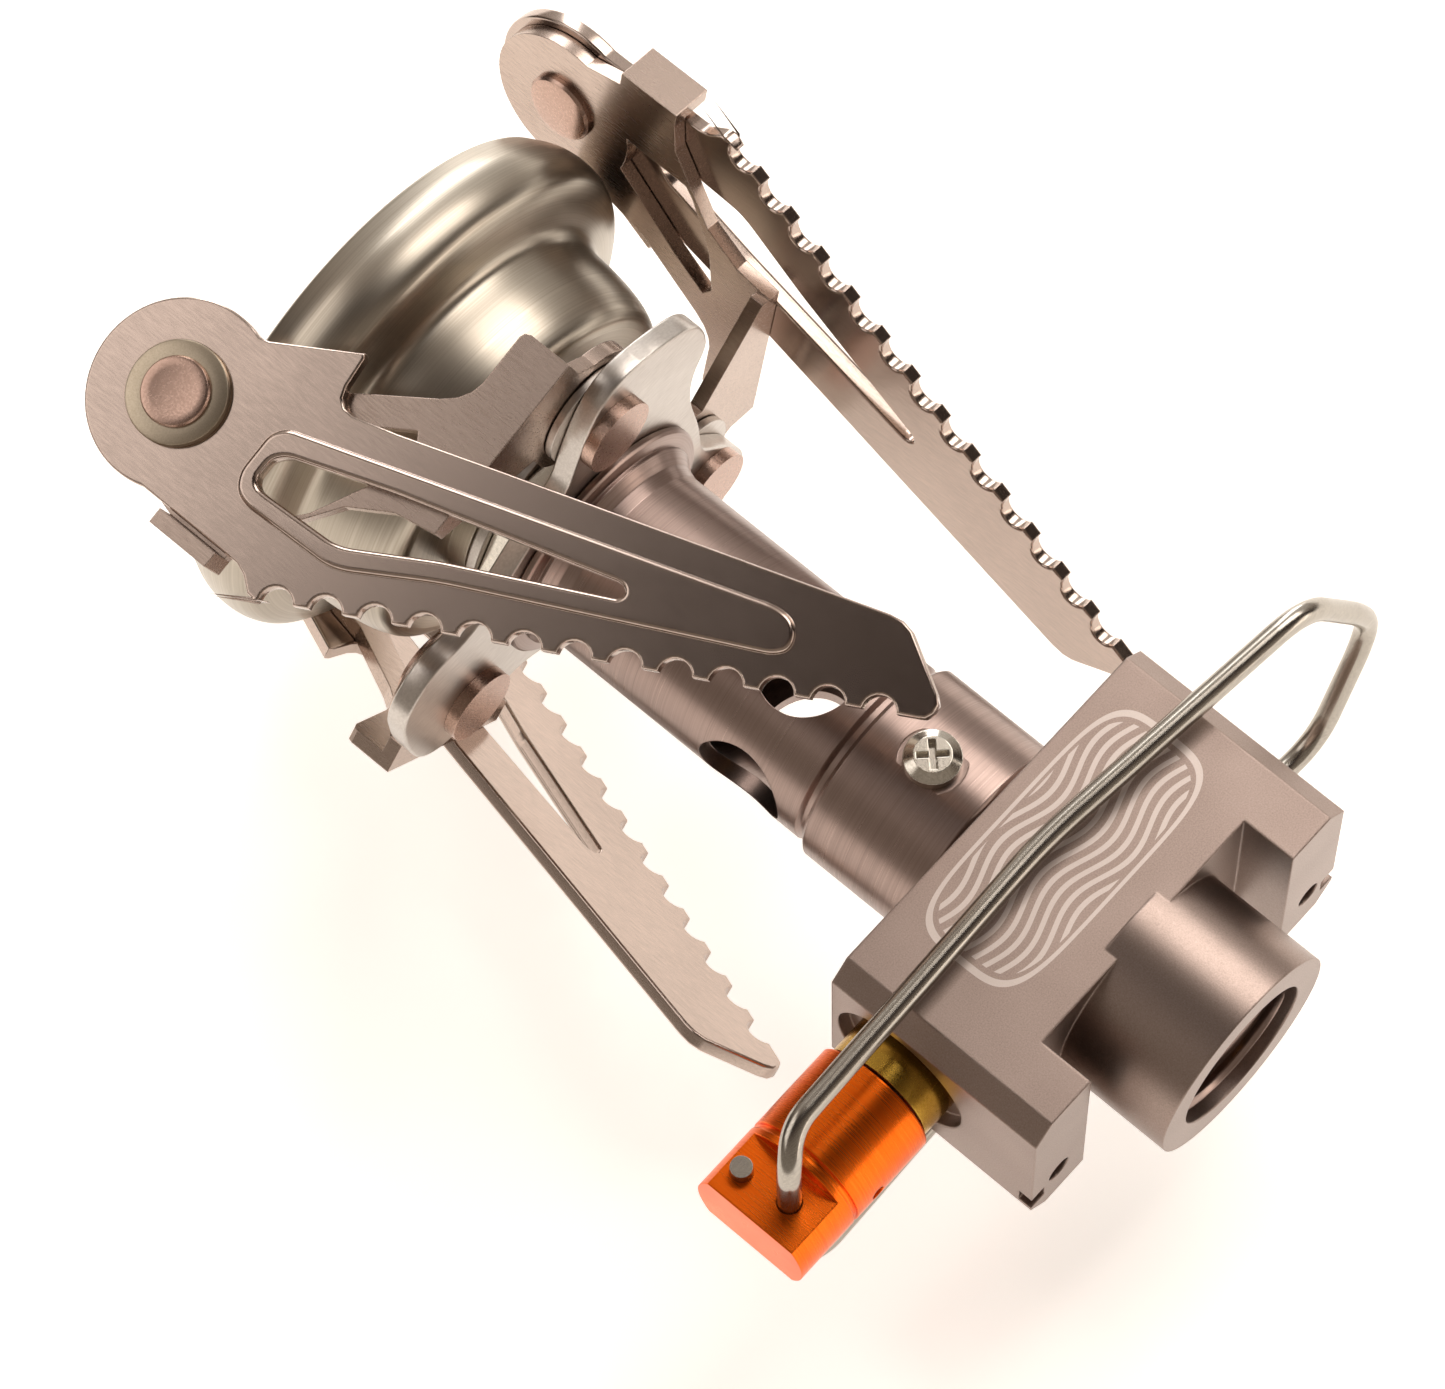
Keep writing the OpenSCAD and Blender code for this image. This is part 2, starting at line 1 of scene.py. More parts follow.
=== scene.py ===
"""Folding canister stove: finishes, detailed pieces, studio and camera.

Sizes are in millimetres in the classes and turned to metres where a mesh is made. The stove
stands along +Z with the canister socket at the origin and the engraved front facing -Y.
"""

import json
import logging
import math
from dataclasses import dataclass, field
from enum import Enum

import bmesh
import bpy
from mathutils import Euler, Matrix, Vector

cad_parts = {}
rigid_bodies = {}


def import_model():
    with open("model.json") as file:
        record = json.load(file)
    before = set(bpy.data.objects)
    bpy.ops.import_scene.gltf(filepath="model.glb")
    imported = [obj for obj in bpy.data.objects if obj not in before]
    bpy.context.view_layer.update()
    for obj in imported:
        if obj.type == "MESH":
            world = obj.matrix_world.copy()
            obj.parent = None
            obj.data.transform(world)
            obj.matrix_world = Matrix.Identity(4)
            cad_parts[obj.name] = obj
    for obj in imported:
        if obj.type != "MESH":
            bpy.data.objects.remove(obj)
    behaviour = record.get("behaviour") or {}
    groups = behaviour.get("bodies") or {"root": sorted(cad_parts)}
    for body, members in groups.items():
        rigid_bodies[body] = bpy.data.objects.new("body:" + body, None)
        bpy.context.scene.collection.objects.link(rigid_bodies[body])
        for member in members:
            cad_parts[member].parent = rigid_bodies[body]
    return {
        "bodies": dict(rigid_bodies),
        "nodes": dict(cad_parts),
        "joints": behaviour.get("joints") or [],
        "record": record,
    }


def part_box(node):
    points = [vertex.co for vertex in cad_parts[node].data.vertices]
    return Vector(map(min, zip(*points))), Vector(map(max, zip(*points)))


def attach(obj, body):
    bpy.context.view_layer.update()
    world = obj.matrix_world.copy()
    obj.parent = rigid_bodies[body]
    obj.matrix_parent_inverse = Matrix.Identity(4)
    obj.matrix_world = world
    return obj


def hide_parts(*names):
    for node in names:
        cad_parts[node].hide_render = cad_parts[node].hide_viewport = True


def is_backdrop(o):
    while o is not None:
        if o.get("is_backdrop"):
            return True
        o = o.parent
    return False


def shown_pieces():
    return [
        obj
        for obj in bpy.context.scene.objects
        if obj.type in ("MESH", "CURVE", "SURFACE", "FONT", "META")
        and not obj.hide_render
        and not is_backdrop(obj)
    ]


MM = 0.001
# Height of the stove's middle, which the lamps point at, in mm.
MIDDLE = 38.0
# Angle above which an edge of a plate stays sharp, in degrees.
PLATE_CREASE = 40.0
# Cosine above which a face counts as parallel to a plate.
LEVEL = 0.9999
LOG = logging.getLogger("stove")
Point = tuple[float, float]
Colour = tuple[float, float, float, float]


def linear(code: str) -> Colour:
    """Turns an sRGB hex value to linear colour.

    Args:
        code: Six hex digits, with or without a hash.

    Returns:
        Red, green, blue and alpha from 0 to 1.
    """
    digits = code.lstrip("#")
    parts = [int(digits[i : i + 2], 16) / 255 for i in (0, 2, 4)]
    turned = [c / 12.92 if c <= 0.04045 else ((c + 0.055) / 1.055) ** 2.4 for c in parts]
    return (turned[0], turned[1], turned[2], 1.0)


class Slot(Enum):
    """The record's material slots."""

    ANODISED = "anodised"
    ORANGE = "orange_anodised"
    BURNER = "burner_steel"
    ARM = "arm_steel"
    WIRE = "wire_steel"
    BRIGHT = "bright_steel"
    NICKEL = "nickel"
    BRASS = "brass"
    NITRILE = "nitrile"


class Graph:
    """The node tree of one material or of the world."""

    def __init__(self, owner: bpy.types.Material | bpy.types.World) -> None:
        """Empties the owner's tree.

        Args:
            owner: The material or world the nodes belong to.
        """
        self.owner = owner
        owner.use_nodes = True
        self.tree = owner.node_tree
        self.tree.nodes.clear()

    def add(self, kind: str, feeds: dict | None = None, **settings: object) -> bpy.types.Node:
        """Adds a node with its settings and links.

        Args:
            kind: The node's type, after the word ShaderNode.
            feeds: For each input, by name or number, a value, the socket that feeds it, or the
                node whose first output feeds it.
            settings: Attributes of the node; stops gives a ramp's positions and colours.

        Returns:
            The new node.
        """
        node = self.tree.nodes.new("ShaderNode" + kind)
        for key, value in settings.items():
            if key == "stops":
                ramp = node.color_ramp.elements
                while len(ramp) < len(value):
                    ramp.new(0.5)
                for element, (place, tone) in zip(ramp, value):
                    element.position, element.color = place, tone
            else:
                setattr(node, key, value)
        for socket, source in (feeds or {}).items():
            if isinstance(source, bpy.types.Node):
                source = source.outputs[0]
            if isinstance(source, bpy.types.NodeSocket):
                self.tree.links.new(source, node.inputs[socket])
            else:
                node.inputs[socket].default_value = source
        return node

    def close(self, shader: bpy.types.Node) -> bpy.types.Material | bpy.types.World:
        """Joins the shader to the output.

        Args:
            shader: The tree's last node.

        Returns:
            The finished material or world.
        """
        end = "World" if isinstance(self.owner, bpy.types.World) else "Material"
        self.add("Output" + end, {"Surface": shader})
        return self.owner


@dataclass(frozen=True)
class Metal:
    """A metal surface with fine marks from how it was made.

    Attributes:
        name: The material's name.
        light: Lighter tone of the metal.
        dark: Darker tone, in the hollows of the grain.
        smooth: Lowest roughness.
        rough: Highest roughness.
        grain: Size of one mark across, in mm.
        stretch: How many times longer a mark is than wide, for each local direction.
        turned: True where the marks are rings about the stove axis.
        relief: Height of the marks, in mm.
        edge: Radius of the broken edges, in mm.
        drift: Change along a turned ring, in units of one mark's width per radian.
        cloud: Scale of the broad unevenness in the tone, per metre, and its share.
    """

    name: str
    light: str
    dark: str
    smooth: float
    rough: float
    grain: float = 0.15
    stretch: tuple[float, float, float] = (1.0, 1.0, 1.0)
    turned: bool = False
    relief: float = 0.004
    edge: float = 0.12
    drift: float = 0.0004
    cloud: tuple[float, float] = (160.0, 0.3)

    def place(self, graph: Graph) -> bpy.types.Node:
        """Gives the coordinates of the marks, in units of one mark.

        Args:
            graph: The material's tree.

        Returns:
            The node with the scaled coordinates.
        """
        spot = graph.add("TexCoord").outputs["Object"]
        if self.turned:
            across, along, up = graph.add("SeparateXYZ", {0: spot}).outputs
            flat = graph.add("CombineXYZ", {0: across, 1: along})
            radius = graph.add("VectorMath", {0: flat}, operation="LENGTH")
            angle = graph.add("Math", {0: along, 1: across}, operation="ARCTAN2")
            slow = graph.add("Math", {0: angle, 1: self.drift}, operation="MULTIPLY")
            spot = graph.add("CombineXYZ", {0: radius.outputs["Value"], 1: slow, 2: up})
        scale = [1 / (self.grain * MM * s) for s in self.stretch]
        return graph.add("Mapping", {"Vector": spot, "Scale": scale})

    def tone(self, graph: Graph, marks: bpy.types.NodeSocket) -> bpy.types.NodeSocket:
        """Gives the colour socket, from the marks' height from 0 to 1."""
        stops = [(0.25, linear(self.dark)), (0.7, linear(self.light))]
        return graph.add("ValToRGB", {0: marks}, stops=stops).outputs[0]

    def build(self) -> bpy.types.Material:
        """Makes the material.

        Returns:
            The finished material.
        """
        graph = Graph(bpy.data.materials.new(self.name))
        scale, share = self.cloud
        noise = graph.add("TexNoise", {"Vector": self.place(graph), "Scale": 1.0,
                                       "Detail": 3.0, "Roughness": 0.6})
        cloud = graph.add("TexNoise", {"Vector": graph.add("TexCoord").outputs["Object"],
                                       "Scale": scale, "Detail": 2.0})
        marks = graph.add("Mix", {0: share, 2: noise, 3: cloud}, data_type="FLOAT").outputs[0]
        gloss = graph.add("MapRange", {0: marks, 1: 0.2, 2: 0.8, 3: self.rough,
                                       4: self.smooth})
        edge = graph.add("Bevel", {"Radius": self.edge * MM}, samples=6)
        bump = graph.add("Bump", {"Strength": 0.5, "Distance": self.relief * MM,
                                  "Height": noise, "Normal": edge})
        return graph.close(graph.add("BsdfPrincipled", {
            "Base Color": self.tone(graph, marks), "Metallic": 1.0, "Roughness": gloss,
            "Normal": bump}))


@dataclass(frozen=True)
class EtchedAnodising(Metal):
    """Bead-blasted anodised aluminium with an etched wave panel on the front face.

    Attributes:
        middle: Middle of the panel on the face, X and Z in mm.
        half: Half width and half height of the panel, in mm.
        front: How far the face stands in front of the stove axis, in mm.
        etched: Tone of the etched lines.
        pitch: Distance between the waves, in mm.
        swell: Height of the waves, in mm.
        waves: Turn of the waves' phase from the panel's middle to its side, in radians.
        line: Share of the pitch that is etched.
        field: How much of the rounded panel the waves fill.
        border: Half width of the panel's outline, as a share of the panel.
        strength: How far the etching covers the metal's tone.
    """

    middle: Point = (1.0, 15.1)
    half: Point = (9.6, 4.1)
    front: float = 7.0
    etched: str = "#DDD2CB"
    pitch: float = 0.8
    swell: float = 0.5
    waves: float = 6.8
    line: float = 0.42
    field: float = 0.72
    border: float = 0.12
    strength: float = 0.55

    def tone(self, graph: Graph, marks: bpy.types.NodeSocket) -> bpy.types.NodeSocket:
        """Gives the colour, with the etched panel laid over the metal.

        Args:
            graph: The material's tree.
            marks: The marks' height from 0 to 1.

        Returns:
            The socket with the colour.
        """
        metal = super().tone(graph, marks)
        side, depth, height = graph.add(
            "SeparateXYZ", {0: graph.add("TexCoord").outputs["Object"]}).outputs
        spots, bulges = [], []
        for part, middle, half, power in zip((side, height), self.middle, self.half, (5.0, 4.0)):
            spots.append(graph.add("Math", {0: part, 1: 1 / (half * MM), 2: -middle / half},
                                   operation="MULTIPLY_ADD"))
            size = graph.add("Math", {0: spots[-1]}, operation="ABSOLUTE")
            bulges.append(graph.add("Math", {0: size, 1: power}, operation="POWER"))
        box = graph.add("Math", {0: bulges[0], 1: bulges[1]}, operation="ADD")
        inside = graph.add("Math", {0: box, 1: self.field}, operation="LESS_THAN")
        rim = graph.add("Math", {0: box, 1: 1.0}, operation="SUBTRACT")
        rim = graph.add("Math", {0: rim}, operation="ABSOLUTE")
        outline = graph.add("Math", {0: rim, 1: self.border}, operation="LESS_THAN")
        phase = graph.add("Math", {0: spots[0], 1: self.waves}, operation="MULTIPLY")
        wave = graph.add("Math", {0: phase}, operation="SINE")
        level = graph.add("Math", {0: height, 1: self.pitch * MM}, operation="DIVIDE")
        rise = graph.add("Math", {0: wave, 1: self.swell / self.pitch, 2: level},
                         operation="MULTIPLY_ADD")
        place = graph.add("Math", {0: rise}, operation="FRACT")
        line = graph.add("Math", {0: place, 1: self.line}, operation="LESS_THAN")
        lines = graph.add("Math", {0: inside, 1: line}, operation="MULTIPLY")
        drawn = graph.add("Math", {0: lines, 1: outline}, operation="MAXIMUM")
        face = graph.add("Math", {0: depth, 1: -(self.front - 0.03) * MM},
                         operation="LESS_THAN")
        seen = graph.add("Math", {0: drawn, 1: face}, operation="MULTIPLY")
        mask = graph.add("Math", {0: seen, 1: self.strength}, operation="MULTIPLY")
        return graph.add("Mix", {0: mask, 6: metal, 7: linear(self.etched)},
                         data_type="RGBA").outputs[2]


@dataclass(frozen=True)
class Rubber:
    """Moulded nitrile rubber: black, matt, with a faint cloud in its gloss.

    Attributes:
        name: The material's name.
        shade: Tone of the rubber.
        worn: Tone where it is rubbed.
        cloud: Scale of the cloud, per metre.
    """

    name: str = "moulded_nitrile"
    shade: str = "#17181A"
    worn: str = "#26272A"
    cloud: float = 4000.0

    def build(self) -> bpy.types.Material:
        """Makes the material.

        Returns:
            The finished material.
        """
        graph = Graph(bpy.data.materials.new(self.name))
        spot = graph.add("TexCoord").outputs["Object"]
        noise = graph.add("TexNoise", {"Vector": spot, "Scale": self.cloud, "Detail": 3.0})
        tone = graph.add("ValToRGB", {0: noise},
                         stops=[(0.3, linear(self.shade)), (0.75, linear(self.worn))])
        rough = graph.add("MapRange", {0: noise, 3: 0.45, 4: 0.65})
        bump = graph.add("Bump", {"Strength": 0.4, "Distance": 0.01 * MM, "Height": noise})
        return graph.close(graph.add("BsdfPrincipled", {
            "Base Color": tone, "Roughness": rough, "Normal": bump}))


@dataclass(frozen=True)
class WireCloth:
    """Woven stainless gauze: two families of wires at right angles, with painted shade in the gaps
    between them.

    Attributes:
        name: The material's name.
        pitch: Distance from wire to wire, in mm.
        wire: Tone of the wires.
        gap_shade: Tone of the gaps between the wires, painted dark as the shade seen through the
            holes.
    """

    name: str = "woven_steel_gauze"
    pitch: float = 0.5
    wire: str = "#B9B2A6"
    gap_shade: str = "#2A2724"

    def build(self) -> bpy.types.Material:
        """Makes the material.

        Returns:
            The finished material.
        """
        graph = Graph(bpy.data.materials.new(self.name))
        parts = graph.add("SeparateXYZ", {0: graph.add("TexCoord").outputs["Object"]}).outputs
        waves = []
        for axis in (0, 1):
            turns = graph.add("Math", {0: parts[axis], 1: math.pi / (self.pitch * MM)},
                              operation="MULTIPLY")
            wave = graph.add("Math", {0: turns}, operation="SINE")
            waves.append(graph.add("Math", {0: wave}, operation="ABSOLUTE"))
        top = graph.add("Math", {0: waves[0], 1: waves[1]}, operation="MAXIMUM")
        # Painted shade: between the wires' crests the colour falls to a near-black tone, for the
        # shade seen through the holes.
        tone = graph.add("ValToRGB", {0: top},
                         stops=[(0.75, linear(self.gap_shade)), (0.9, linear(self.wire))])
        bump = graph.add("Bump", {"Strength": 0.8, "Distance": 0.1 * MM, "Height": top})
        return graph.close(graph.add("BsdfPrincipled", {
            "Base Color": tone, "Metallic": 1.0, "Roughness": 0.4, "Normal": bump}))


class Finishes:
    """Every finish on the stove, made once."""

    def __init__(self) -> None:
        """Builds the materials."""
        # Bead-blasted aluminium, hard anodised: satin with a fine even grain.
        blasted = dict(light="#A8968D", dark="#8A7970", smooth=0.30, rough=0.42, grain=0.10,
                       relief=0.010, edge=0.22)
        self.block = EtchedAnodising("anodised_aluminium_etched", **blasted).build()
        self.tube = Metal("anodised_aluminium_turned", light="#A69188", dark="#88766F",
                          smooth=0.24, rough=0.36, grain=0.09, stretch=(1, 60, 1), turned=True,
                          relief=0.006, edge=0.10).build()
        # Stainless steel spun and turned on a lathe: rings about the axis.
        self.burner = Metal("turned_stainless", light="#BDB4A6", dark="#9A9083", smooth=0.26,
                            rough=0.38, grain=0.16, stretch=(1, 60, 1), turned=True,
                            relief=0.0025, edge=0.08).build()
        # Rolled stainless sheet, tumbled: nearly mirror with a long faint grain.
        self.sheet = Metal("rolled_stainless", light="#C0AEA3", dark="#AE9E94", smooth=0.15,
                           rough=0.22, grain=0.12, stretch=(1, 1, 8), relief=0.0003,
                           edge=0.10).build()
        self.link = Metal("rolled_stainless_satin", light="#C0AEA2", dark="#A8958A",
                          smooth=0.20, rough=0.32, grain=0.12, stretch=(1, 1, 8),
                          relief=0.0005, edge=0.10).build()
        self.plate = Metal("blanked_stainless", light="#CFC8C1", dark="#B2AAA3", smooth=0.26,
                           rough=0.38, grain=0.14, stretch=(8, 1, 1), relief=0.0015,
                           edge=0.15).build()
        # Upset rivet steel: a satin collar and a warmer polished head.
        self.collar = Metal("rivet_steel_satin", light="#C2B5A2", dark="#A69985", smooth=0.28,
                            rough=0.40, grain=0.10, relief=0.004, edge=0.05).build()
        self.head = Metal("rivet_steel_warm", light="#C2A597", dark="#A98C7E", smooth=0.22,
                          rough=0.34, grain=0.16, relief=0.005, edge=0.05).build()
        # Drawn spring wire: fine lines along the draw.
        self.wire = Metal("drawn_spring_wire", light="#BDB7AD", dark="#958D83", smooth=0.16,
                          rough=0.30, grain=0.08, stretch=(60, 1, 1), relief=0.001,
                          edge=0.03).build()
        # Nickel plate over steel: bright, warm white.
        self.nickel = Metal("nickel_plate", light="#D9D3C8", dark="#BDB6AA", smooth=0.12,
                            rough=0.22, grain=0.20, relief=0.003, edge=0.08).build()
        # Turned brass, uncoated: yellow with a slightly brown film.
        self.brass = Metal("turned_brass", light="#D8AE4C", dark="#A87F2C", smooth=0.18,
                           rough=0.32, grain=0.16, relief=0.005, edge=0.08).build()
        # Turned aluminium, dyed orange and anodised: rings about the knob's own axis.
        self.orange = Metal("orange_anodised_aluminium", light="#FF7A22", dark="#EE5E0C",
                            smooth=0.22, rough=0.34, grain=0.10, stretch=(1, 60, 60),
                            relief=0.003, edge=0.16).build()
        # Sintered bronze: small round grains pressed together.
        self.bronze = Metal("sintered_bronze", light="#B98B55", dark="#6E4C2A", smooth=0.4,
                            rough=0.6, grain=0.25, relief=0.08, edge=0.05).build()
        self.rubber = Rubber().build()
        self.gauze = WireCloth().build()


def mesh_object(name: str, verts: list, faces: list, frame: Matrix | None = None,
                crease: float = 32.0) -> bpy.types.Object:
    """Makes a mesh object from points in millimetres.

    Args:
        name: The object's name.
        verts: Points in mm.
        faces: Point numbers of each face.
        frame: Where the points stand, in mm; left out, the stove's own frame.
        crease: Angle between faces, in degrees, above which an edge stays sharp.

    Returns:
        The object, with its place in its vertices.
    """
    spot = frame or Matrix.Identity(4)
    mesh = bpy.data.meshes.new(name)
    mesh.from_pydata([(spot @ Vector(v)) * MM for v in verts], [], faces)
    mesh.update()
    return finish_mesh(name, mesh, crease)


def finish_mesh(name: str, mesh: bpy.types.Mesh, crease: float) -> bpy.types.Object:
    """Welds, turns outward and smooths a mesh and puts it in the scene.

    Args:
        name: The object's name.
        mesh: The mesh, in metres.
        crease: Angle above which an edge stays sharp, in degrees.

    Returns:
        The object.
    """
    work = bmesh.new()
    work.from_mesh(mesh)
    bmesh.ops.remove_doubles(work, verts=work.verts, dist=0.002 * MM)
    bmesh.ops.recalc_face_normals(work, faces=work.faces)
    work.to_mesh(mesh)
    work.free()
    mesh.shade_smooth()
    mesh.set_sharp_from_angle(angle=math.radians(crease))
    item = bpy.data.objects.new(name, mesh)
    bpy.context.scene.collection.objects.link(item)
    even = item.modifiers.new("even_faces", "WEIGHTED_NORMAL")
    even.weight, even.keep_sharp = 100, True
    return item


def lathe(name: str, profile: list[Point], frame: Matrix | None = None, steps: int = 128,
          crease: float = 32.0) -> bpy.types.Object:
    """Turns a profile of radius and height about the frame's Z.

    Args:
        name: The object's name.
        profile: Radius and height in mm; a closed loop, or open where both ends are at the axis.
        frame: The frame the profile stands in, in mm.
        steps: Facets round the axis.
        crease: Angle above which an edge stays sharp.

    Returns:
        The turned object.
    """
    verts, rows = [], []
    for radius, height in profile:
        if radius < 1e-6:
            rows.append([len(verts)] * steps)
            verts.append((0, 0, height))
            continue
        rows.append([len(verts) + k for k in range(steps)])
        turn = [2 * math.pi * k / steps for k in range(steps)]
        verts += [(radius * math.cos(a), radius * math.sin(a), height) for a in turn]
    closed = profile[0][0] > 1e-6
    faces = []
    for i in range(len(rows) if closed else len(rows) - 1):
        low, high = rows[i], rows[(i + 1) % len(rows)]
        for k in range(steps):
            m = (k + 1) % steps
            corner = list(dict.fromkeys((low[k], low[m], high[m], high[k])))
            if len(corner) > 2:
                faces.append(corner)
    return mesh_object(name, verts, faces, frame, crease)


def fillet(points: list, reach: float, steps: int = 8, closed: bool = False) -> list[Vector]:
    """Rounds the corners of a line.

    Args:
        points: The corners.
        reach: How far from a corner its curve starts, at most.
        steps: Stretches in each curve.
        closed: True for a loop.

    Returns:
        The points of the rounded line.
    """
    pts = [Vector(p) for p in points]
    count = len(pts)
    out = [] if closed else [pts[0]]
    for i in range(0 if closed else 1, count if closed else count - 1):
        before, corner, after = pts[i - 1], pts[i], pts[(i + 1) % count]
        back, ahead = before - corner, after - corner
        near = min(reach, back.length * 0.5, ahead.length * 0.5)
        start, end = corner + back.normalized() * near, corner + ahead.normalized() * near
        for k in range(steps + 1):
            t = k / steps
            out.append(start * (1 - t) ** 2 + corner * 2 * t * (1 - t) + end * t**2)
    return out if closed else out + [pts[-1]]


def plate(name: str, outline: list, holes: list, low: float, high: float, edge: float,
          frame: Matrix) -> bpy.types.Object:
    """Makes a flat plate with rounded edges.

    Args:
        name: The object's name.
        outline: Outer loop of points in mm.
        holes: Inner loops.
        low: Height of the lower face in the frame, in mm.
        high: Height of the upper face.
        edge: Radius of the rounded edges.
        frame: The frame the loops are drawn in, in mm.

    Returns:
        The plate.
    """
    curve = bpy.data.curves.new(name, "CURVE")
    curve.dimensions, curve.fill_mode = "2D", "BOTH"
    curve.extrude = (high - low) / 2 - edge
    curve.bevel_depth, curve.bevel_resolution, curve.offset = edge, 3, -edge
    for loop in [outline, *holes]:
        spline = curve.splines.new("POLY")
        spline.points.add(len(loop) - 1)
        spline.use_cyclic_u = True
        for point, spot in zip(spline.points, loop):
            point.co = (spot[0], spot[1], 0, 1)
    shape = bpy.data.objects.new(name + "_curve", curve)
    bpy.context.scene.collection.objects.link(shape)
    drawn = shape.evaluated_get(bpy.context.evaluated_depsgraph_get())
    mesh = bpy.data.meshes.new_from_object(drawn)
    bpy.data.objects.remove(shape)
    bpy.data.curves.remove(curve)
    mesh.transform(Matrix.Scale(MM, 4) @ frame @ Matrix.Translation((0, 0, (low + high) / 2)))
    mesh.name = name
    item = finish_mesh(name, mesh, PLATE_CREASE)
    level = (frame.to_3x3() @ Vector((0, 0, 1))).normalized()
    work = bmesh.new()
    work.from_mesh(mesh)
    inside = [edge for edge in work.edges if len(edge.link_faces) == 2
              and all(abs(face.normal.dot(level)) > LEVEL for face in edge.link_faces)]
    bmesh.ops.dissolve_limit(work, angle_limit=math.radians(1), verts=[], edges=inside)
    work.to_mesh(mesh)
    work.free()
    return item


def sweep(name: str, line: list[Vector], radius: float, sides: int = 24) -> bpy.types.Object:
    """Runs a round wire along a line.

    Args:
        name: The object's name.
        line: Points in mm.
        radius: The wire's radius in mm.
        sides: Facets round the wire.

    Returns:
        The wire, with rounded ends.
    """
    clean = [line[0]]
    for spot in line[1:]:
        if (spot - clean[-1]).length > 0.01:
            clean.append(spot)
    along = [(clean[min(i + 1, len(clean) - 1)] - clean[max(i - 1, 0)]).normalized()
             for i in range(len(clean))]
    across = along[0].orthogonal().normalized()
    verts, rings = [], []
    caps = [(0.55, -0.9), (0.88, -0.5)]
    spots = [(clean[0] + along[0] * radius * d, along[0], r) for r, d in caps]
    spots += [(p, a, 1.0) for p, a in zip(clean, along)]
    spots += [(clean[-1] - along[-1] * radius * d, along[-1], r) for r, d in reversed(caps)]
    for spot, ahead, scale in spots:
        across = (across - ahead * across.dot(ahead)).normalized()
        up = ahead.cross(across)
        rings.append([len(verts) + k for k in range(sides)])
        for k in range(sides):
            turn = 2 * math.pi * k / sides
            verts.append(spot + (across * math.cos(turn) + up * math.sin(turn)) * radius * scale)
    faces = [list(reversed(rings[0])), rings[-1]]
    for low, high in zip(rings, rings[1:]):
        faces += [(low[k], low[(k + 1) % sides], high[(k + 1) % sides], high[k])
                  for k in range(sides)]
    return mesh_object(name, verts, faces, None, 50.0)


def seat(item: bpy.types.Object, finish: bpy.types.Material, body: str, slot: Slot,
         *nodes: str) -> bpy.types.Object:
    """Dresses a piece and ties it to its body.

    Args:
        item: The piece.
        finish: Its material.
        body: The body it moves with.
        slot: The record's slot for its finish; not used.
        nodes: The plain solids it stands for.

    Returns:
        The piece.
    """
    item.data.materials.clear()
    item.data.materials.append(finish)
    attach(item, body)
    if nodes:
        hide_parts(*nodes)
    LOG.info("%s rides %s", item.name, body)
    return item


class Stove:
    """What the frame says about the stove: its solids and its joints."""

    def __init__(self, frame: dict) -> None:
        """Keeps the frame.
        """
        self.nodes = frame["nodes"]
        self.shapes = {name: [v.co.copy() for v in item.data.vertices]
                       for name, item in self.nodes.items()}
        self.joints = {joint["name"]: joint for joint in frame["joints"]}

    def dress(self, finish: bpy.types.Material, slot: Slot, *nodes: str) -> None:
        """Gives solids that stay as they are their finish.

        Args:
            finish: The material.
            slot: The record's slot; not used.
            nodes: The solids' names.
        """
        for name in nodes:
            item = self.nodes[name]
            item.data.materials.clear()
            item.data.materials.append(finish)
            item.data.shade_smooth()
            item.data.set_sharp_from_angle(angle=math.radians(28))
            LOG.info("%s dressed in %s", name, finish.name)

    def pivot(self, joint: str) -> tuple[Vector, Vector]:
        """Gives a joint's place in mm and its axis."""
        found = self.joints[joint]
        return Vector(found["pos_m"]) / MM, Vector(found["axis"]).normalized()

    def reach(self, node: str, axis: Vector) -> tuple[float, float]:
        """Gives a solid's nearest and farthest point along an axis, in mm."""
        spots = [spot.dot(axis) / MM for spot in self.shapes[node]]
        return min(spots), max(spots)

    def arm_frame(self, number: int) -> Matrix:
        """Gives the frame of a blade's rivet.

        Args:
            number: The arm, 1 to 3.

        Returns:
            A matrix in mm: X runs against the folded blade's side, Y up, Z outward, and the
            origin is on the rivet axis level with the stove axis.
        """
        spot, outward = self.pivot(f"blade_{number}_fold")
        base = spot - outward * spot.dot(outward)
        up = Vector((0, 0, 1))
        side = up.cross(outward)
        turned = Matrix((side, up, outward)).transposed().to_4x4()
        return Matrix.Translation(base) @ turned


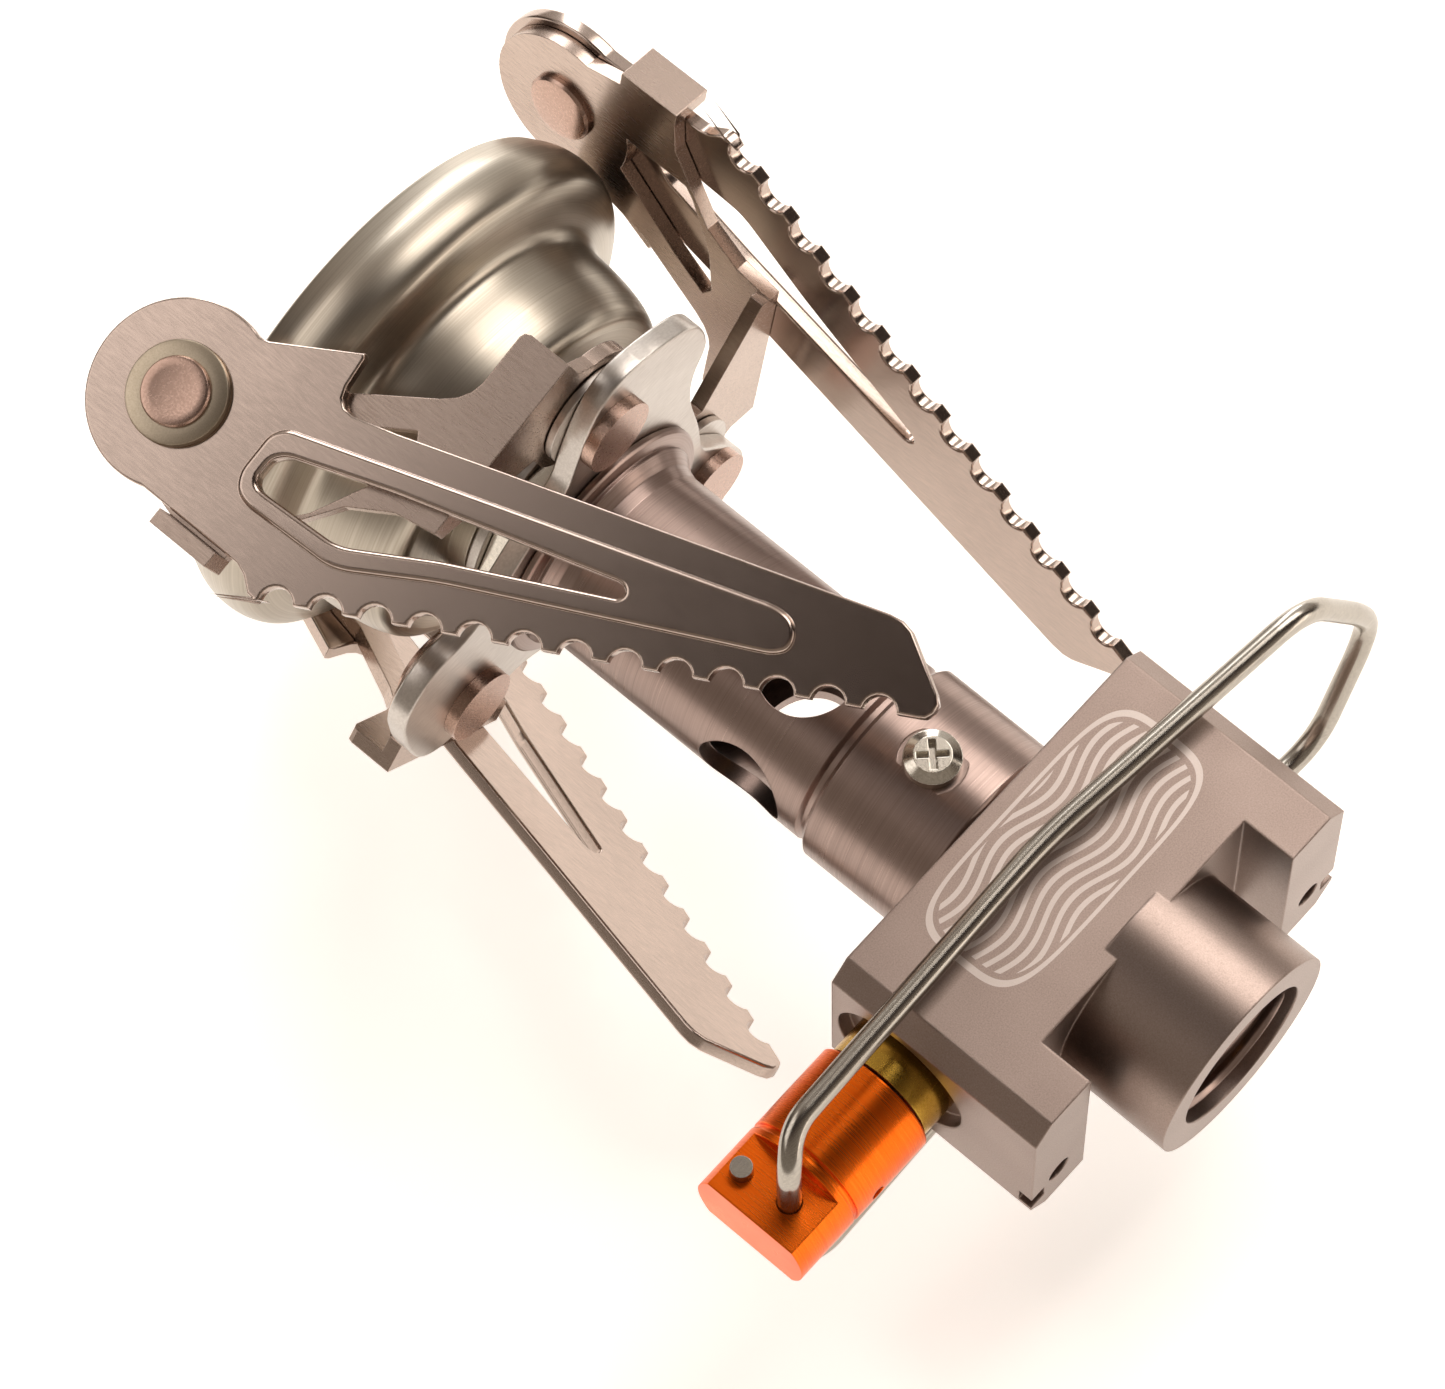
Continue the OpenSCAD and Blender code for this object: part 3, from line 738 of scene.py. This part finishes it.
@dataclass
class ValveBlock:
    """The valve block with its socket, seals and gland.

    Attributes:
        thread_crest: Radius of the thread's crest.
        thread_root: Radius of its root, in the socket's wall.
        thread_pitch: Its pitch.
        thread_span: Height of its first and last turn.
        crest_half: Half width of the flat on the crest.
        flank: Half width of the ridge at the root, as a share of the pitch.
        steps: Facets in one turn.
        fade: Facets over which each end runs out.
    """

    thread_crest: float = 4.86
    thread_root: float = 5.27
    thread_pitch: float = 25.4 / 28
    thread_span: Point = (1.0, 7.0)
    crest_half: float = 0.06
    flank: float = 0.47
    steps: int = 72
    fade: int = 30

    def thread(self) -> bpy.types.Object:
        """Makes the helical ridge inside the socket.

        Returns:
            The ridge.
        """
        turns = (self.thread_span[1] - self.thread_span[0]) / self.thread_pitch
        count = int(turns * self.steps)
        verts, faces = [], []
        for i in range(count + 1):
            turn = 2 * math.pi * i / self.steps
            height = self.thread_span[0] + self.thread_pitch * i / self.steps
            fade = min(1.0, i / self.fade, (count - i) / self.fade)
            crest = self.thread_root - (self.thread_root - self.thread_crest) * fade
            half = self.thread_pitch * self.flank
            for radius, rise in ((self.thread_root, -half), (crest, -self.crest_half),
                                 (crest, self.crest_half), (self.thread_root, half)):
                verts.append((radius * math.cos(turn), radius * math.sin(turn), height + rise))
        for i in range(count):
            for k in range(4):
                m = (k + 1) % 4
                faces.append((4 * i + k, 4 * i + m, 4 * i + 4 + m, 4 * i + 4 + k))
        return mesh_object("socket_thread", verts, faces, None, 25.0)

    def build(self, stove: Stove, finishes: Finishes) -> None:
        """Makes and dresses the sub-assembly.

        Args:
            stove: The frame's solids and joints.
            finishes: The finishes.
        """
        stove.dress(finishes.block, Slot.ANODISED, "valve_body")
        stove.dress(finishes.rubber, Slot.NITRILE, "socket_oring", "jet_oring", "spindle_oring")
        stove.dress(finishes.brass, Slot.BRASS, "depressor_pin", "jet", "gland_nut")
        stove.dress(finishes.bronze, Slot.BRASS, "inlet_filter")
        seat(self.thread(), finishes.tube, "stove_body", Slot.ANODISED)


@dataclass
class Burner:
    """The mixing tube, hub plate and burner head.

    Attributes:
        skin: The bowl's profile as radius and height above its flat bottom, outside first.
        ear: One ear of the hub plate and the hollow beside it, as radius and azimuth.
        neck: Inner and outer radius of the bowl's socket.
        socket_drop: Depth of the socket below the bowl's flat bottom.
        bore: Radius of the holes in the hub plate: the middle one and the rivets'.
        ease: How far the rounding of the hub plate's corners reaches.
        tumbled: Radius of its edges.
        apart: Least distance between two points of its outline.
    """

    skin: list[Point] = field(default_factory=lambda: [
        (11.6, 0.0), (12.2, 0.12), (12.65, 0.45), (12.95, 0.95), (13.25, 1.8), (13.5, 2.9),
        (13.7, 4.3), (13.8, 5.6), (13.9, 6.2), (14.15, 6.6), (14.6, 6.9), (15.6, 7.2),
        (16.6, 7.55), (17.3, 8.0), (17.7, 8.7), (17.9, 9.6), (17.9, 10.6), (17.7, 11.5),
        (17.3, 12.4), (17.0, 12.95), (16.7, 13.1), (16.4, 13.0), (16.3, 12.6), (16.75, 11.4),
        (17.0, 10.4), (16.9, 9.4), (16.5, 8.6), (15.6, 8.1), (14.2, 7.65), (13.4, 7.2),
        (13.1, 6.6), (13.0, 5.6), (12.9, 4.3), (12.7, 2.9), (12.4, 1.8), (12.0, 1.1),
        (11.5, 0.8)])
    neck: Point = (6.04, 7.2)
    socket_drop: float = 1.55
    ear: list[Point] = field(default_factory=lambda: [
        (10.4, 12), (12.9, 4.5), (14.9, 0), (16.6, -4.5), (17.5, -9), (17.8, -14), (17.8, -22),
        (17.8, -31), (17.3, -36), (16.2, -41), (15.2, -44.6), (14.3, -46.2), (13.3, -47),
        (12.0, -50), (10.9, -56), (10.2, -63), (9.8, -72), (9.7, -84), (9.8, -96)])
    bore: Point = (6.05, 1.52)
    ease: float = 0.9
    tumbled: float = 0.14
    apart: float = 0.02

    def bowl(self) -> bpy.types.Object:
        """Turns the bowl on a smooth line through its profile.

        Returns:
            The bowl.
        """
        low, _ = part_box("burner_bowl")
        bottom = low.z / MM + self.socket_drop
        line: list[Point] = []
        skin = [Vector((*p, 0)) for p in self.skin]
        for i in range(len(skin) - 1):
            a, b = skin[max(i - 1, 0)], skin[i]
            c, d = skin[i + 1], skin[min(i + 2, len(skin) - 1)]
            for k in range(4):
                t = k / 4
                spot = 0.5 * (2 * b + (c - a) * t + (2 * a - 5 * b + 4 * c - d) * t * t
                              + (3 * b - 3 * c + d - a) * t**3)
                line.append((spot.x, bottom + spot.y))
        line += [(11.5, bottom + 0.8), (self.neck[0], bottom + 0.8),
                 (self.neck[0], bottom - self.socket_drop + 0.15),
                 (self.neck[0] + 0.15, bottom - self.socket_drop),
                 (self.neck[1] - 0.15, bottom - self.socket_drop),
                 (self.neck[1], bottom - self.socket_drop + 0.15), (self.neck[1], bottom)]
        return lathe("burner_bowl_turned", line, None, 160)

    def hub(self, stove: Stove) -> bpy.types.Object:
        """Blanks the three-eared plate, with tumbled edges.

        Args:
            stove: Gives the rivets' places and the plate's height.

        Returns:
            The plate.
        """
        low, high = stove.reach("hub_plate", Vector((0, 0, 1)))
        loop = []
        for k in range(3):
            for radius, azimuth in self.ear:
                turn = math.radians(azimuth - 120 * k)
                loop.append(Vector((-radius * math.sin(turn), -radius * math.cos(turn), 0)))
        holes = [(Vector((0, 0, 0)), self.bore[0])]
        holes += [(stove.pivot(f"link_{n}_swing")[0], self.bore[1]) for n in (1, 2, 3)]
        rings = [[(spot.x + radius * math.cos(t * math.pi / 24),
                   spot.y + radius * math.sin(t * math.pi / 24)) for t in range(48)]
                 for spot, radius in holes]
        smooth: list[Point] = []
        for spot in fillet(loop, self.ease, 5, True):
            if not smooth or (spot.xy - Vector(smooth[-1])).length > self.apart:
                smooth.append(tuple(spot.xy))
        return plate("hub_plate_blanked", smooth, rings, low, high, self.tumbled,
                     Matrix.Identity(4))

    def build(self, stove: Stove, finishes: Finishes) -> None:
        """Makes and dresses the sub-assembly.

        Args:
            stove: The frame's solids and joints.
            finishes: The finishes.
        """
        seat(self.bowl(), finishes.burner, "stove_body", Slot.BURNER, "burner_bowl")
        stove.dress(finishes.burner, Slot.BURNER, "burner_cap", "cap_rivet")
        stove.dress(finishes.gauze, Slot.BURNER, "burner_gauze")
        stove.dress(finishes.tube, Slot.ANODISED, "mixing_tube")
        stove.dress(finishes.nickel, Slot.NICKEL, "tube_screws", "lock_nut")
        seat(self.hub(stove), finishes.plate, "stove_body", Slot.BRIGHT, "hub_plate")
        stove.dress(finishes.plate, Slot.BRIGHT, "spring_washer", "hub_washers")
        stove.dress(finishes.head, Slot.BRIGHT, "hub_rivets")


@dataclass
class SupportArm:
    """One pot support: the link, the blade and the rivet between them.

    Attributes:
        number: The arm, 1 to 3.
        sheet: Thickness of the blade.
        head: Radius of the blade's round head.
        head_arc: Where the round head starts and ends, in degrees.
        bore: Radius of the rivet hole.
        left: The hooked side of the blade from the head down, sideways and height.
        right: The outer side from the first serration up to the head.
        toothed: First and last point of the serrated edge.
        first_tooth: Middle of the serration the row is counted from.
        tooth: Pitch and radius of the serrations.
        slot: Corners of the slot.
        border: Corners of the pressed border round it.
        rounding: How far the rounding of the slot's and the border's corners reaches.
        broken: Radius of the blade's edges and of the border's.
        pressed: How far the border stands out of the blade.
        collar: The rivet collar's profile as radius and distance from the blade.
        shank: The rivet's profile, from its inner head to its outer one.
    """

    number: int
    sheet: float = 1.0
    head: float = 6.0
    head_arc: Point = (-18.2, 197.1)
    bore: float = 1.65
    left: list[Point] = field(default_factory=lambda: [
        (-5.88, -2.38), (-8.83, -7.49), (-8.95, -7.65), (-8.6, -7.85), (-6.7, -8.05),
        (-6.0, -8.3), (-5.6, -8.8), (-5.55, -9.5), (-6.4, -12.5), (-8.6, -19.2),
        (-16.3, -43.2), (-16.45, -44.1), (-16.3, -44.9), (-14.35, -48.4), (-13.9, -48.9),
        (-13.3, -49.0), (-12.8, -48.8)])
    right: list[Point] = field(default_factory=lambda: [
        (6.75, -11.9), (6.7, -11.3), (6.0, -10.4), (5.7, -9.6)])
    toothed: tuple[Point, Point] = ((-12.6, -48.5), (6.3, -12.6))
    first_tooth: Point = (-5.51, -35.3)
    tooth: tuple[float, float] = (3.13, 1.08)
    slot: list[Point] = field(default_factory=lambda: [
        (-0.5, -7.3), (0.9, -7.3), (1.35, -7.7), (1.4, -8.3), (1.1, -13.6), (0.8, -14.5),
        (-2.1, -19.6), (-7.0, -29.7), (-7.4, -29.9), (-7.75, -29.6), (-7.8, -29.1),
        (-3.6, -14.9), (-1.2, -8.0)])
    border: list[Point] = field(default_factory=lambda: [
        (-1.6, -6.2), (1.3, -6.2), (2.3, -6.8), (2.65, -7.8), (2.4, -14.2), (2.0, -15.3),
        (-1.0, -20.4), (-10.1, -39.2), (-10.9, -39.9), (-11.9, -39.6), (-12.5, -38.8),
        (-12.5, -37.6), (-2.5, -6.9)])
    rounding: Point = (0.5, 1.2)
    broken: Point = (0.16, 0.30)
    pressed: float = 0.35
    collar: list[Point] = field(default_factory=lambda: [
        (2.0, 0), (3.22, 0), (3.3, 0.08), (3.3, 0.38), (3.24, 0.5), (3.1, 0.55), (2.0, 0.55)])
    shank: list[Point] = field(default_factory=lambda: [
        (0, -2.7), (1.9, -2.7), (2.25, -2.6), (2.4, -2.4), (2.4, -2.1), (1.6, -2.1), (1.6, 0),
        (1.9, 0), (1.9, 0.5), (2.2, 0.52), (2.22, 0.75), (2.12, 0.92), (1.95, 0.96),
        (1.5, 0.93), (0, 0.9)])

    def inner(self, stove: Stove) -> float:
        """Gives the distance of the blade's inner face from the stove axis, in mm."""
        _, outward = stove.pivot(f"blade_{self.number}_fold")
        return stove.reach(f"blade_{self.number}", outward)[0]

    def serrated(self) -> list[Point]:
        """Lays out the serrated edge.

        Returns:
            Its points, from the tip up.
        """
        low, high = (Vector(p) for p in self.toothed)
        along = (high - low).normalized()
        inward = Vector((-along.y, along.x))
        pitch, radius = self.tooth
        line: list[Point] = [tuple(low)]
        for k in range(-4, 9):
            centre = Vector(self.first_tooth) + along * pitch * k
            away = (centre - low).dot(inward)
            reach = math.sqrt(radius**2 - away**2)
            half = math.atan2(reach, -away)
            for j in range(11):
                turn = -half + 2 * half * j / 10
                spot = centre + (inward * math.cos(turn) + along * math.sin(turn)) * radius
                line.append(tuple(spot))
        return line + [tuple(high)]

    def outline(self) -> list[Point]:
        """Lays out the blade.

        Returns:
            Its outer loop.
        """
        start, end = (math.radians(turn) for turn in self.head_arc)
        turns = [start + (end - start) * k / 48 for k in range(49)]
        arc = [(self.head * math.cos(turn), self.head * math.sin(turn)) for turn in turns]
        return arc + self.left + self.serrated() + self.right

    def blade(self, stove: Stove) -> bpy.types.Object:
        """Makes the blade with its pressed border and rounded edges.

        Args:
            stove: Gives the blade's place.

        Returns:
            The blade.
        """
        spot = stove.arm_frame(self.number)
        outline, opening, border = [[(-side, height) for side, height in loop]
                                    for loop in (self.outline(), self.slot, self.border)]
        hole = [(self.bore * math.cos(t * math.pi / 20), self.bore * math.sin(t * math.pi / 20))
                for t in range(40)]
        slot = [tuple(p.xy) for p in fillet([(*p, 0) for p in opening], self.rounding[0], 4, True)]
        rim = [tuple(p.xy) for p in fillet([(*p, 0) for p in border], self.rounding[1], 5, True)]
        inner = self.inner(stove)
        outer = inner + self.sheet
        sheet = plate(f"blade_{self.number}_pressed", outline, [slot, hole], inner, outer,
                      self.broken[0], spot)
        ridge = plate("ridge", rim, [slot], outer - self.broken[1], outer + self.pressed,
                      self.broken[1], spot)
        work = bmesh.new()
        work.from_mesh(sheet.data)
        work.from_mesh(ridge.data)
        work.to_mesh(sheet.data)
        work.free()
        bpy.data.objects.remove(ridge)
        sheet.data.set_sharp_from_angle(angle=math.radians(PLATE_CREASE))
        return sheet

    def rivet(self, stove: Stove) -> tuple[bpy.types.Object, bpy.types.Object]:
        """Makes the rivet's collar, and its shank with both heads.

        Args:
            stove: Gives the rivet's place.

        Returns:
            The collar and the shank.
        """
        spot = stove.arm_frame(self.number)
        base = self.inner(stove) + self.sheet + 0.05
        pieces = []
        for part, profile in (("collar", self.collar), ("shank", self.shank)):
            line = [(radius, base + height) for radius, height in profile]
            pieces.append(lathe(f"blade_rivet_{self.number}_{part}", line, spot, 96))
        return pieces[0], pieces[1]

    def build(self, stove: Stove, finishes: Finishes) -> None:
        """Makes and dresses the arm.

        Args:
            stove: The frame's solids and joints.
            finishes: The finishes.
        """
        n = self.number
        seat(self.blade(stove), finishes.sheet, f"support_blade_{n}", Slot.ARM, f"blade_{n}")
        collar, head = self.rivet(stove)
        seat(collar, finishes.collar, f"arm_link_{n}", Slot.BRIGHT, f"blade_rivet_{n}")
        seat(head, finishes.head, f"arm_link_{n}", Slot.BRIGHT, f"blade_rivet_{n}")
        stove.dress(finishes.link, Slot.ARM, f"link_{n}")


@dataclass
class KnobAndBail:
    """The orange control knob on its spindle, and the wire bail.

    Attributes:
        wire: Radius of the wire.
        half: Half distance between the bail's legs.
        tip: Reach of the bail past the stove axis.
        lean: Lean of the bail's legs, from bends beside its pin, in degrees.
        axis_z: Height of the knob's axis.
        bend: How far a bend reaches from its corner.
    """

    wire: float = 0.75
    half: float = 8.95
    tip: float = 27.0
    lean: float = 7.0
    axis_z: float = 14.9
    bend: float = 2.6

    def leaned(self, x: float, y: float, z: float) -> Vector:
        """Leans a point of the legs about the knob's axis.

        Args:
            x: X in mm.
            y: Y in mm.
            z: Z in mm.

        Returns:
            The leaned point.
        """
        turn = Matrix.Rotation(math.radians(-self.lean), 3, "X")
        axis = Vector((0, 0, self.axis_z))
        return turn @ (Vector((x, y, z)) - axis) + axis

    def leg(self, side: int, pin: Vector) -> list[Vector]:
        """Gives one leg's corners, from its pin in the knob to the tip.

        Args:
            side: -1 in front or 1 behind.
            pin: Middle of the pin in the knob.

        Returns:
            The corners in mm.
        """
        wide, high = side * self.half, self.axis_z
        return [Vector((pin.x, side * 0.25, pin.z)),
                Vector((pin.x, side * (self.half - 1.2), pin.z)),
                self.leaned(pin.x + 2.0, wide, pin.z + 0.35),
                self.leaned(0, wide, high - 0.1),
                self.leaned(self.tip - 5.2, wide, high - 2.3),
                self.leaned(self.tip - 0.9, side * 2.2, high - 2.6)]

    def bail(self, stove: Stove) -> bpy.types.Object:
        """Bends the wire.

        Args:
            stove: Gives the pin's place.

        Returns:
            The bail's mesh object.
        """
        pin, _ = stove.pivot("bail_fold")
        nose = self.leaned(self.tip, 0, self.axis_z - 2.6)
        line = self.leg(-1, pin) + [nose] + list(reversed(self.leg(1, pin)))
        return sweep("wire_bail_drawn", fillet(line, self.bend, 10), self.wire)

    def build(self, stove: Stove, finishes: Finishes) -> None:
        """Makes and dresses the sub-assembly.

        Args:
            stove: The frame's solids and joints.
            finishes: The finishes.
        """
        stove.dress(finishes.orange, Slot.ORANGE, "control_knob")
        stove.dress(finishes.nickel, Slot.NICKEL, "needle_spindle", "knob_pin")
        stove.dress(finishes.wire, Slot.WIRE, "bail_stub")
        seat(self.bail(stove), finishes.wire, "bail", Slot.WIRE, "wire_bail")


@dataclass(frozen=True)
class Softbox:
    """A soft light, placed from the camera's point of view.

    Attributes:
        name: The lamp's name.
        side: Distance to the right of the stove's middle, in mm.
        up: Distance above it.
        back: Distance towards the camera.
        size: Width and height in mm.
        watts: Its power.
        tint: Its colour.
    """

    name: str
    side: float
    up: float
    back: float
    size: Point
    watts: float
    tint: str

    def hang(self, camera: bpy.types.Object) -> None:
        """Puts the lamp in the scene, turned to the stove.

        Args:
            camera: The camera.
        """
        middle = Vector((0, 0, MIDDLE * MM))
        data = bpy.data.lights.new(self.name, "AREA")
        data.shape, data.size, data.size_y = "RECTANGLE", self.size[0] * MM, self.size[1] * MM
        data.energy, data.color = self.watts, linear(self.tint)[:3]
        item = bpy.data.objects.new(self.name, data)
        bpy.context.scene.collection.objects.link(item)
        spot = Vector((self.side, self.up, self.back)) * MM
        item.location = middle + camera.matrix_world.to_3x3() @ spot
        item.rotation_euler = (middle - item.location).to_track_quat("-Z", "Y").to_euler()
        item.visible_camera = False


@dataclass
class Studio:
    """The pale table, the soft lights and the camera.

    Attributes:
        eye: The camera's place in mm.
        turn: The camera's turn in degrees, XYZ.
        lens: Focal length on a 36 mm wide sensor, in mm.
        table_tilt: Lean of the table the stove lies on, from the stove's axis, in degrees.
        table_gap: Gap between the table and the stove, in mm.
        table_size: Side of the table, in mm.
        table_fade: Where the table starts to fade out and where it is gone, in metres.
        table_glow: Strength of the light the paper passes through.
        paper: Tone of the table and of the room behind it.
        shade: Tone of the light through the paper.
        bright: Direction of the room's bright side.
        tones: The room's tones, from its far side to its bright side.
        room: Strength of the room's light.
        lamps: The soft lights.
    """

    eye: tuple[float, float, float] = (-119.556, -376.805, -71.931)
    turn: tuple[float, float, float] = (114.1654, 48.5093, 1.3700)
    lens: float = 165.54
    table_tilt: float = 10.0
    table_gap: float = 0.6
    table_size: float = 2600.0
    table_fade: Point = (0.25, 0.9)
    table_glow: float = 0.68
    paper: str = "#FFFCF8"
    shade: str = "#F8F3EC"
    bright: tuple[float, float, float] = (0.69, -0.39, 0.60)
    tones: tuple[tuple[float, str], ...] = (
        (0.0, "#B3A89C"), (0.44, "#A3978B"), (0.55, "#6A5C53"), (0.64, "#2C231F"),
        (0.74, "#43372F"), (0.86, "#A89A8E"), (1.0, "#F5EEE6"))
    room: float = 0.8
    lamps: tuple[Softbox, ...] = (
        Softbox("left_box", -560, 260, 420, (560, 460), 1.3, "#FFF8F2"),
        Softbox("upper_box", 275, 545, 400, (480, 340), 2.2, "#FFFAF5"),
        Softbox("back_strip", -60, 720, -60, (700, 200), 2.0, "#FFFFFF"),
        Softbox("right_strip", 620, -60, 160, (160, 480), 0.7, "#FFF3E8"))

    def camera(self) -> bpy.types.Object:
        """Sets the camera.

        Returns:
            The camera.
        """
        data = bpy.data.cameras.new("camera")
        data.lens, data.sensor_width = self.lens, 36.0
        data.clip_start, data.clip_end = 0.01, 20.0
        item = bpy.data.objects.new("camera", data)
        bpy.context.scene.collection.objects.link(item)
        item.location = Vector(self.eye) * MM
        item.rotation_euler = Euler([math.radians(a) for a in self.turn], "XYZ")
        bpy.context.scene.camera = item
        bpy.context.view_layer.update()
        return item

    def table(self) -> None:
        """Lays the table under the stove's back, see-through from below."""
        lean = math.radians(self.table_tilt)
        up = Vector((0, -math.cos(lean), math.sin(lean)))
        graph = bpy.context.evaluated_depsgraph_get()
        lowest = 1e9
        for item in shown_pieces():
            drawn = item.evaluated_get(graph)
            for corner in drawn.to_mesh().vertices:
                lowest = min(lowest, up.dot(item.matrix_world @ corner.co))
            drawn.to_mesh_clear()
        centre = Vector((0, 0, 35 * MM))
        middle = centre + up * (lowest - self.table_gap * MM - up.dot(centre))
        side = Vector((1, 0, 0))
        ahead = up.cross(side)
        half = self.table_size / 2 * MM
        mesh = bpy.data.meshes.new("table")
        mesh.from_pydata([middle + side * a * half + ahead * b * half
                          for a, b in ((-1, -1), (1, -1), (1, 1), (-1, 1))], [], [(0, 1, 2, 3)])
        item = bpy.data.objects.new("table", mesh)
        bpy.context.scene.collection.objects.link(item)
        tree = Graph(bpy.data.materials.new("table_paper"))
        spot = tree.add("VectorMath", {0: tree.add("TexCoord").outputs["Object"], 1: middle},
                        operation="DISTANCE")
        start, end = self.table_fade
        fade = tree.add("MapRange", {0: spot.outputs["Value"], 1: start, 2: end, 3: 0.0, 4: 1.0},
                        interpolation_type="SMOOTHSTEP")
        back = tree.add("NewGeometry").outputs["Backfacing"]
        clear = tree.add("Math", {0: fade, 1: back}, operation="MAXIMUM")
        lit = tree.add("BsdfDiffuse", {"Color": linear(self.paper)})
        glow = tree.add("Emission", {"Color": linear(self.shade), "Strength": self.table_glow})
        white = tree.add("AddShader", {0: lit, 1: glow})
        gone = tree.add("BsdfTransparent")
        mesh.materials.append(tree.close(tree.add("MixShader", {0: clear, 1: white, 2: gone})))
        item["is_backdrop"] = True
        LOG.info("table laid")

    def surroundings(self) -> None:
        """Makes the room: pale paper to look at, and a warm room to reflect."""
        world = bpy.data.worlds.new("room")
        bpy.context.scene.world = world
        tree = Graph(world)
        lean = tree.add("VectorMath", {0: tree.add("TexCoord").outputs["Generated"],
                                       1: Vector(self.bright).normalized()},
                        operation="DOT_PRODUCT")
        half = tree.add("Math", {0: lean.outputs["Value"], 1: 0.5, 2: 0.5},
                        operation="MULTIPLY_ADD")
        ramp = tree.add("ValToRGB", {0: half},
                        stops=[(place, linear(tone)) for place, tone in self.tones])
        room = tree.add("Background", {0: ramp, 1: self.room})
        seen = tree.add("Background", {0: linear(self.paper), 1: 1.0})
        straight = tree.add("LightPath").outputs["Is Camera Ray"]
        tree.close(tree.add("MixShader", {0: straight, 1: room, 2: seen}))

    def build(self) -> None:
        """Sets up the studio."""
        camera = self.camera()
        self.surroundings()
        self.table()
        for lamp in self.lamps:
            lamp.hang(camera)
        bpy.context.scene.view_settings.view_transform = "Standard"
        LOG.info("studio ready")


def main() -> None:
    """Builds every sub-assembly in order."""
    logging.basicConfig(level=logging.INFO, format="%(name)s: %(message)s")
    stove = Stove(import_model())
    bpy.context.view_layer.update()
    finishes = Finishes()
    ValveBlock().build(stove, finishes)
    Burner().build(stove, finishes)
    for number in (1, 2, 3):
        SupportArm(number).build(stove, finishes)
    KnobAndBail().build(stove, finishes)
    Studio().build()


if __name__ == "__main__":
    main()
